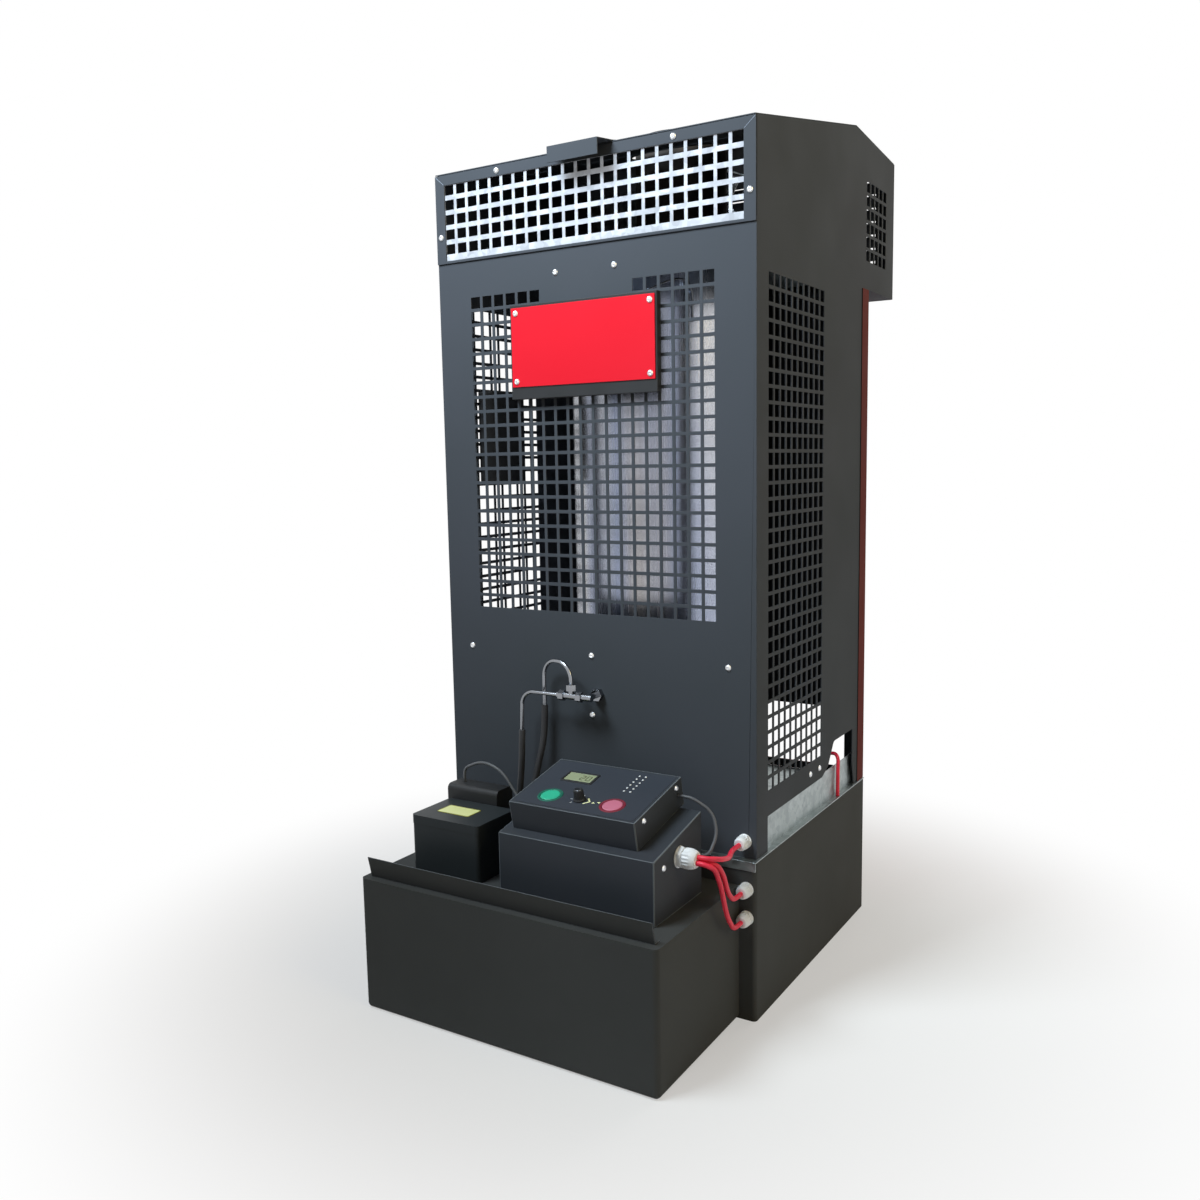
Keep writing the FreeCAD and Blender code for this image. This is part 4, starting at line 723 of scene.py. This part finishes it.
def punched_sheet(name, origin, along, across, up, first_hole, push):
    """Upright sheet with holes at every second step of a grid, as thick as the push is long."""
    origin, along, upward = Vector(origin), Vector(along), Vector((0, 0, 1))

    def build(form):
        grid = {}

        def corner(i, j):
            if (i, j) not in grid:
                grid[i, j] = form.verts.new(origin + along * across[i] + upward * up[j])
            return grid[i, j]

        for i in range(len(across) - 1):
            for j in range(len(up) - 1):
                if i % 2 == first_hole and j % 2 == first_hole:
                    continue
                form.faces.new([corner(i, j), corner(i + 1, j), corner(i + 1, j + 1), corner(i, j + 1)])
        thick = bmesh.ops.extrude_face_region(form, geom=list(form.faces), use_keep_orig=True)
        moved = [item for item in thick["geom"] if isinstance(item, bmesh.types.BMVert)]
        bmesh.ops.translate(form, verts=moved, vec=Vector(push))

    return mesh_from(name, build)


def side_grille(node):
    """Grille in one sheet, from the first hole's edge to the last one's."""
    low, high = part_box(node)
    across = grid_steps(hole_count(high.y - low.y), side_hole)
    up = grid_steps(hole_count(high.z - low.z), side_hole)
    name = node + "_sheet"
    mesh = punched_sheet(name, low, (0, 1, 0), across, up, 0, (high.x - low.x, 0, 0))
    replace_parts(make_piece(name, mesh, "cabinet"), node)


def top_mesh():
    """Bright punched sheet behind the top frame, with a wide lower edge."""
    low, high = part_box("top_grille_mesh")
    columns = int((high.x - low.x) / pitch)
    rows = int((high.z - low.z) / pitch)
    foot = high.z - low.z - rows * pitch
    across = grid_steps(columns, mesh_hole_width, mesh_upright, mesh_upright)
    up = grid_steps(rows, mesh_hole_height, foot, mesh_level)
    start = (low.x + mesh_upright, low.y, low.z + foot)
    mesh = punched_sheet("top_mesh_sheet", start, (1, 0, 0), across, up, 1, (0, high.y - low.y, 0))
    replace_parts(make_piece("top_mesh_sheet", mesh, "mesh"), "top_grille_mesh")


for hand in ("right", "left"):
    side_grille("side_grille_" + hand)
    side_grille("hood_grille_" + hand)
top_mesh()


# Screws

def clusters(node, reach):
    """Groups of a node's points that lie close together, one for each small solid."""
    groups = []
    for vertex in nodes[node].data.vertices:
        for group in groups:
            if (group[0] - vertex.co).length < reach:
                group.append(vertex.co)
                break
        else:
            groups.append([vertex.co])
    return groups


def screw_head(radius, height):
    """Pan head with a cross recess, on a narrow washer face."""
    washer = radius * screw_washer
    rings = [shaped_ring(0, washer), shaped_ring(height * screw_washer_top, washer),
             shaped_ring(height * screw_head_foot, radius)]
    for step in range(1, screw_dome_rings):
        angle = math.pi / 2 * step / screw_dome_rings
        level = height * (screw_shoulder + (1 - screw_shoulder) * math.sin(angle))
        rings.append(shaped_ring(level, radius * (screw_crown + (1 - screw_crown) * math.cos(angle))))
    arm = radius * screw_cross_arm
    half = radius * screw_cross_half
    cross = [(arm, half), (half, half), (half, arm)]
    for quarter in range(3):
        cross += [(-y, x) for x, y in cross[-3:]]
    recess = plate("screw_recess", cross, height * screw_cross_floor, height * screw_cross_cutter)
    return cut_away(lofted("screw_dome", rings), recess)


def screw_place(points):
    """Placement of a screw from its solid's points: its wide foot, and the way its head points."""
    low = Vector([min(point[i] for point in points) for i in range(3)])
    high = Vector([max(point[i] for point in points) for i in range(3)])
    middle = (low + high) / 2
    axis = min(range(3), key=lambda i: high[i] - low[i])
    across = (axis + 1) % 3

    def spread(level):
        ring = [point for point in points if abs(point[axis] - level) < level_tolerance]
        return max(abs(point[across] - middle[across]) for point in ring)

    foot_is_low = spread(low[axis]) > spread(high[axis])
    middle[axis] = low[axis] if foot_is_low else high[axis]
    direction = Vector((0, 0, 0))
    direction[axis] = 1 if foot_is_low else -1
    return towards(direction, middle)


def screws():
    """Screw heads in place of the plain ones, each turned another way."""
    head = screw_head(screw_radius, screw_height)
    forms = []
    for index, points in enumerate(clusters("screws", screw_reach)):
        turn = Matrix.Rotation(math.radians(screw_turn * index), 4, "Z")
        forms.append((head, screw_place(points) @ turn))
    piece = smooth_piece("screw_heads", gathered("screw_heads", forms), "zinc")
    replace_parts(piece, "screws")


screws()


# Cable glands

def gland_form(radius, length):
    """Gland body with hexagon flats, a thread gap, a ribbed clamping nut and its domed end.

    Each level has its height as a share of the length, and its size as a share of the radius.
    """
    flange = [(0.00, 1.06), (0.05, 1.06), (0.05, 0.96)]
    hexagon = [(0.07, 1.08), (0.25, 1.08)]
    thread_gap = [(0.28, 0.95), (0.28, 0.82), (0.35, 0.82)]
    nut = [(0.35, 0.98), (0.38, 1.02), (0.62, 1.02), (0.68, 0.99)]
    dome = [(0.74, 0.96), (0.84, 0.90), (0.92, 0.82), (0.975, 0.74), (1.00, 0.66)]
    rings = []
    for levels, flats, ribs in ((flange, 0, 0), (hexagon, gland_flats, 0), (thread_gap, 0, 0),
                                (nut, 0, gland_ribs), (dome, 0, 0)):
        for height, size in levels:
            rings.append(shaped_ring(height * length, size * radius, flats, ribs, radius * gland_rib_depth))
    return lofted("gland", rings)


def cable_glands():
    """Large gland that points to the right, and three small ones that point to the operator."""
    forms = [(gland_form(main_gland_radius, main_gland_length), towards((1, 0, 0), main_gland_place))]
    small = gland_form(small_gland_radius, small_gland_length)
    places = [(base_gland_x, base_gland_y, height) for height in base_gland_heights] + [rear_gland_place]
    forms += [(small, towards((0, -1, 0), place)) for place in places]
    piece = make_piece("gland_bodies", gathered("gland_bodies", forms), "nylon")
    finish_edges(piece, thin_edge, gland_edge_angle)
    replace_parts(piece, "cable_glands")


cable_glands()


# Control panel

panel_matrix = Matrix.Translation((0, panel_front, panel_foot)) @ Matrix.Rotation(panel_tilt, 4, "X")


def on_panel(u, v, w=panel_height):
    """Placement on the control panel."""
    return panel_matrix @ Matrix.Translation((u, v, w))


def overlay():
    """Thin satin overlay on the box's top, with holes for the buttons and the knob's shaft."""
    width = panel_right - panel_left - 2 * overlay_margin
    length = panel_depth - 2 * overlay_margin
    middle_u, middle_v = (panel_left + panel_right) / 2, panel_depth / 2
    outline = rounded_rectangle(width, length, overlay_corner)
    sheet = plate("panel_overlay", outline, 0, overlay_thickness, film_chamfer)
    button_hole = button_radius + button_gap
    for u, radius in ((start_u, button_hole), (stop_u, button_hole), (knob_u, shaft_hole)):
        hole = [(x + u - middle_u, y + control_row - middle_v) for x, y in circle(radius)]
        sheet = cut_away(sheet, plate("overlay_hole", hole, -cutter_reach, cutter_reach))
    smooth_piece("panel_overlay", sheet, "overlay", place=on_panel(middle_u, middle_v))


def button_rims():
    """Raised collar round each push button."""
    inner = circle(button_radius + button_gap)
    outer = circle(button_radius + bezel_width)
    for name, u, paint, slot in (("start_rim", start_u, "dark_green", "green_cap"),
                                 ("stop_rim", stop_u, "dark_red", "red_cap")):
        collar = rim(name, outer, inner, 0, overlay_thickness + bezel_height, bezel_slope)
        smooth_piece(name, collar, paint, place=on_panel(u, control_row))


def display():
    """Plain display window in a frame."""
    place = on_panel(display_u, display_v)
    window = rounded_rectangle(display_width, display_length, display_corner)
    face = plate("display_face", window, 0, display_thickness, film_chamfer)
    piece = smooth_piece("display_face", face, "display", place=place)
    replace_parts(piece, "panel_display")
    beside, lap = 2 * display_frame_width, 2 * display_frame_lap
    outer = rounded_rectangle(display_width + beside, display_length + beside, display_frame_corner)
    inner = rounded_rectangle(display_width - lap, display_length - lap, display_frame_inner_corner)
    edge = rim("display_frame", outer, inner, 0, display_frame_height, display_frame_slope)
    smooth_piece("display_frame", edge, "plastic", place=place)


def figure_bars():
    """Place and outline of each bar of a seven-bar figure, by its usual letter."""
    side, quarter = figure_width / 2, figure_height / 4
    corner = figure_bar * figure_bar_corner
    level_length = figure_width - figure_bar * figure_bar_gap
    upright_length = figure_height / 2 - figure_bar * figure_bar_gap
    level = rounded_rectangle(level_length, figure_bar, corner, small_corner_steps)
    upright = rounded_rectangle(figure_bar, upright_length, corner, small_corner_steps)
    return {"a": (0, 2 * quarter, level), "g": (0, 0, level), "d": (0, -2 * quarter, level),
            "b": (side, quarter, upright), "c": (side, -quarter, upright),
            "f": (-side, quarter, upright), "e": (-side, -quarter, upright)}


def figures():
    """Two generic figures on the display."""
    bars = figure_bars()
    forms = []
    for offset, lit in zip(figure_places, ("abged", "abcdef")):
        for letter in lit:
            x, y, outline = bars[letter]
            form = plate("figure_bar", outline, figure_foot, figure_top)
            forms.append((form, Matrix.Translation((offset + x, y, 0))))
    mesh = gathered("display_figures", forms)
    smooth_piece("display_figures", mesh, "ink", place=on_panel(display_u, display_v))


def lamps():
    """Two columns of small domed lamps, each in a flat collar."""
    rings = [shaped_ring(0, lamp_radius, steps=lamp_steps)]
    for step in range(1, lamp_dome_rings):
        angle = math.pi / 2 * step / lamp_dome_rings
        height = lamp_foot + lamp_dome * math.sin(angle)
        rings.append(shaped_ring(height, lamp_radius * math.cos(angle), steps=lamp_steps))
    lens = lofted("lamp", rings)
    inner = circle(lamp_radius, lamp_steps)
    outer = circle(lamp_radius + lamp_collar_width, lamp_steps)
    collar = rim("lamp_collar", outer, inner, 0, overlay_thickness + lamp_collar_height, lamp_collar_slope)
    spots = [Matrix.Translation((column * lamp_step_u, row * lamp_step_v, 0))
             for column in range(lamp_columns) for row in range(lamp_rows)]
    place = on_panel(lamp_u, lamp_v)
    for name, form, paint, slot in (("lamp_lenses", lens, "lamp", "white_nylon"),
                                    ("lamp_collars", collar, "plastic", "black_plastic")):
        mesh = gathered(name, [(form, spot) for spot in spots])
        smooth_piece(name, mesh, paint, place=place)


def printed_mark(name, outline):
    """Thin mark on the overlay's face."""
    return plate(name, outline, overlay_thickness, overlay_thickness + mark_thickness)


def selector_marks():
    """Plain tick marks from the lower left of the selector knob round to its top."""
    tick = printed_mark("tick", rounded_rectangle(tick_width, tick_length, tick_corner, small_corner_steps))
    reach = Matrix.Translation((0, knob_radius + tick_reach, 0))
    forms = []
    for index in range(tick_count):
        angle = math.radians(tick_first + tick_step * index)
        forms.append((tick, Matrix.Rotation(-angle, 4, "Z") @ reach))
    mesh = gathered("selector_marks", forms)
    smooth_piece("selector_marks", mesh, "mark", place=on_panel(knob_u, control_row))


def heat_marks():
    """Pale chevron and two wedges to the right of the knob, with no words."""
    bar = rounded_rectangle(chevron_length, chevron_width, chevron_corner, small_corner_steps)
    arm = printed_mark("arm", bar)
    wedge = printed_mark("wedge", [(-wedge_half, -wedge_half), (wedge_half, 0), (-wedge_half, wedge_half)])
    forms = []
    for form, u, v, turn in ((arm, chevron_u, chevron_v, -chevron_turn),
                             (arm, chevron_u, -chevron_v, chevron_turn),
                             (wedge, left_wedge_u, -wedge_v, 0),
                             (wedge, right_wedge_u, wedge_v, 180)):
        forms.append((form, Matrix.Translation((u, v, 0)) @ Matrix.Rotation(math.radians(turn), 4, "Z")))
    mesh = gathered("heat_marks", forms)
    smooth_piece("heat_marks", mesh, "pale_mark", place=on_panel(knob_u, control_row))


def knob_grip():
    """Skirt, fluted grip and rounded top of the selector knob, by height and share of the radius."""
    skirt = [(0, 1.18), (0.0012, 1.18), (0.0022, 1.10), (0.0030, 1.0)]
    grip = [(0.0036, 1.0), (knob_height - 0.0014, 0.92)]
    top = [(knob_height - 0.0006, 0.88), (knob_height, 0.80)]
    rings = []
    for levels, flutes in ((skirt, 0), (grip, knob_flutes), (top, 0)):
        for height, size in levels:
            rings.append(shaped_ring(height, size * knob_radius, 0, flutes, knob_flute_depth, knob_steps))
    return lofted("knob_grip", rings)


def selector_knob():
    """Fluted knob with a skirt, a bright cap and a pointer line."""
    place = on_panel(knob_u, control_row, panel_height + knob_lift + overlay_thickness)
    grip = smooth_piece("knob_grip", knob_grip(), "plastic", "knob", place)
    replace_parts(grip, "selector_knob")
    cap = lofted("knob_cap", [shaped_ring(knob_height, knob_radius * knob_cap_share),
                              shaped_ring(knob_height + knob_cap_edge, knob_radius * knob_cap_share),
                              shaped_ring(knob_height + knob_cap_height, knob_radius * knob_cap_top_share)])
    smooth_piece("knob_cap", cap, "steel", "knob", place)
    outline = rounded_rectangle(pointer_width, pointer_length, pointer_corner, small_corner_steps)
    line = plate("knob_pointer", outline, pointer_low, pointer_high)
    pointer = place @ Matrix.Translation((0, knob_radius * pointer_reach, -pointer_drop))
    smooth_piece("knob_pointer", line, "mark", "knob", pointer)


overlay()
button_rims()
display()
figures()
lamps()
selector_marks()
heat_marks()
selector_knob()


# Label, seams and light-blocking strip

def pump_label():
    """Blank label with a border on the pump box's lid."""
    place = Matrix.Translation((*label_place, pump_lid_top))
    inner = rounded_rectangle(label_width, label_length, label_corner)
    outer = rounded_rectangle(label_width + 2 * label_border, label_length + 2 * label_border,
                              label_corner + label_border)
    face = plate("pump_label", inner, 0, label_thickness, film_chamfer)
    smooth_piece("pump_label", face, "label", place=place)
    border = rim("pump_label_border", outer, inner, 0, label_thickness)
    smooth_piece("pump_label_border", border, "label_edge", place=place)


def mitre_seams():
    """Narrow seam across each upper corner of the frame, from its outer to its inner corner, light grey as
    a painted highlight.
    """
    low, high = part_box("top_grille_frame")
    mesh_low, mesh_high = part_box("top_grille_mesh")
    upright = Matrix.Rotation(math.pi / 2, 4, "X")
    forms = []
    for side, outer, inner in ((-1, low.x, mesh_low.x + mesh_upright),
                               (1, high.x, mesh_high.x - mesh_upright)):
        start = Vector((outer - side * seam_inset, low.y, high.z - seam_inset))
        end = Vector((inner + side * seam_inset, low.y, mesh_high.z - mesh_level + seam_inset))
        slope = Matrix.Rotation(-math.atan2(end.z - start.z, end.x - start.x), 4, "Y")
        outline = rounded_rectangle((end - start).length, seam_width, seam_corner, small_corner_steps)
        strip = plate("seam", outline, 0, seam_thickness)
        forms.append((strip, Matrix.Translation((start + end) / 2) @ slope @ upright))
    smooth_piece("frame_seams", gathered("frame_seams", forms), "seam")


def hood_light_blocker():
    """Dark strip behind the red front at its fine joint with the hood, which blocks light through the gap
    so the joint stays in shade.
    """
    front_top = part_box("front_panel")[1]
    hood_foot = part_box("hood_front")[0]
    half = -hood_foot.x - blocker_inset
    face = front_top.y - front_sheet - blocker_gap
    back = face - blocker_thickness
    corners = [(-half, back), (half, back), (half, face), (-half, face)]
    levels = (front_top.z - blocker_lap, hood_foot.z + blocker_lap)
    strip = lofted("hood_light_blocker", [[(x, y, z) for x, y in corners] for z in levels])
    make_piece("hood_light_blocker", strip, "plastic")


pump_label()
mitre_seams()
hood_light_blocker()


# Stage: floor, light and camera

def seen_directly(tree):
    """Value that is 1 for camera, glossy and transmission rays and 0 for others."""
    path = tree.nodes.new("ShaderNodeLightPath")
    seen = path.outputs["Is Camera Ray"]
    for name in ("Is Glossy Ray", "Is Transmission Ray"):
        larger = tree.nodes.new("ShaderNodeMath")
        larger.operation = "MAXIMUM"
        tree.links.new(seen, larger.inputs[0])
        tree.links.new(path.outputs[name], larger.inputs[1])
        seen = larger.outputs[0]
    return seen


def mix_surface(tree, share, first, second, output):
    """Surface that turns from one shader to another as the share goes from 0 to 1."""
    mix = tree.nodes.new("ShaderNodeMixShader")
    tree.links.new(share, mix.inputs["Fac"])
    tree.links.new(first.outputs[0], mix.inputs[1])
    tree.links.new(second.outputs[0], mix.inputs[2])
    tree.links.new(mix.outputs[0], tree.nodes[output].inputs["Surface"])


def make_world():
    """Dim white light from all round, and plain white where the world is seen."""
    world = bpy.data.worlds.new("studio")
    bpy.context.scene.world = world
    world.use_nodes = True
    tree = world.node_tree
    soft = tree.nodes["Background"]
    soft.inputs["Color"].default_value = white
    soft.inputs["Strength"].default_value = world_strength
    backdrop = tree.nodes.new("ShaderNodeBackground")
    backdrop.inputs["Color"].default_value = white
    backdrop.inputs["Strength"].default_value = white_strength
    mix_surface(tree, seen_directly(tree), soft, backdrop, "World Output")


def floor_material():
    """Pale material that shows the shadow near the object and turns plain white further out."""
    material = bpy.data.materials.new("pale_floor")
    material.use_nodes = True
    tree = material.node_tree
    shader = tree.nodes["Principled BSDF"]
    shader.inputs["Base Color"].default_value = floor_tone
    shader.inputs["Roughness"].default_value = floor_roughness
    shader.inputs["Specular IOR Level"].default_value = floor_specular
    coords = tree.nodes.new("ShaderNodeTexCoord")
    distance = tree.nodes.new("ShaderNodeVectorMath")
    distance.operation = "LENGTH"
    tree.links.new(coords.outputs["Object"], distance.inputs[0])
    fade = tree.nodes.new("ShaderNodeMapRange")
    fade.interpolation_type = "SMOOTHSTEP"
    fade.inputs["From Min"].default_value = fade_start
    fade.inputs["From Max"].default_value = fade_end
    fade.inputs["To Min"].default_value = fade_least
    tree.links.new(distance.outputs["Value"], fade.inputs["Value"])
    share = tree.nodes.new("ShaderNodeMath")
    share.operation = "MULTIPLY"
    tree.links.new(seen_directly(tree), share.inputs[0])
    tree.links.new(fade.outputs["Result"], share.inputs[1])
    plain = tree.nodes.new("ShaderNodeEmission")
    plain.inputs["Strength"].default_value = white_strength
    mix_surface(tree, share.outputs[0], shader, plain, "Material Output")
    return material


def make_floor():
    """Wide flat floor."""
    corners = [(x * floor_reach, y * floor_reach, 0) for x, y in ((-1, -1), (1, -1), (1, 1), (-1, 1))]
    mesh = bpy.data.meshes.new("floor")
    mesh.from_pydata(corners, [], [(0, 1, 2, 3)])
    mesh.materials.append(floor_material())
    floor = bpy.data.objects.new("floor", mesh)
    bpy.context.scene.collection.objects.link(floor)


def area_light(name, place, target, size, power, tone=(1, 1, 1), spread=180.0):
    """Square lamp that looks at a target, with its spread in degrees."""
    light = bpy.data.lights.new(name, "AREA")
    light.size = size
    light.energy = power
    light.color = tone
    light.spread = math.radians(spread)
    lamp = bpy.data.objects.new(name, light)
    bpy.context.scene.collection.objects.link(lamp)
    lamp.location = place
    lamp.rotation_mode = "QUATERNION"
    lamp.rotation_quaternion = (Vector(target) - Vector(place)).to_track_quat("-Z", "Y")


def make_lights():
    """Cool lamp above the rear, two warm ones to the right, and a large one behind."""
    area_light("key_light", place=(-0.5, -1.1, 2.25), target=(0, -0.2, 1.36), size=0.8, power=14.6,
               tone=(0.78, 0.90, 1.0), spread=77.0)
    area_light("side_light", place=(3.0, -0.4, 1.0), target=(0, 0, 0.7), size=2.0, power=6.8,
               tone=(1.0, 0.94, 0.82))
    area_light("fill_light", place=(2.2, -0.5, 2.1), target=(0.27, 0.1, 1.2), size=1.2, power=3.4,
               tone=(1.0, 0.74, 0.22), spread=90.0)
    area_light("back_light", place=(0.5, 3.2, 2.8), target=(0, 0, 0.8), size=2.4, power=27)


def make_camera():
    """Camera at the photograph's place, turned by its azimuth, elevation and roll."""
    data = bpy.data.cameras.new("photo_camera")
    data.sensor_width = camera_sensor
    data.lens = camera_lens
    data.clip_start = camera_near
    data.clip_end = camera_far
    camera = bpy.data.objects.new("photo_camera", data)
    bpy.context.scene.collection.objects.link(camera)
    flat = math.cos(camera_elevation)
    back = Vector((math.sin(camera_azimuth) * flat,
                   -math.cos(camera_azimuth) * flat,
                   math.sin(camera_elevation)))
    right = (-back).cross(Vector((0, 0, 1))).normalized()
    up = back.cross(right)
    turned_right = right * math.cos(camera_roll) + up * math.sin(camera_roll)
    turned_up = up * math.cos(camera_roll) - right * math.sin(camera_roll)
    turn = Matrix((turned_right, turned_up, back)).transposed().to_4x4()
    camera.matrix_world = Matrix.Translation(camera_place) @ turn
    bpy.context.scene.camera = camera


make_world()
make_floor()
make_lights()
make_camera()
bpy.context.scene.view_settings.view_transform = "Standard"

bpy.context.view_layer.update()
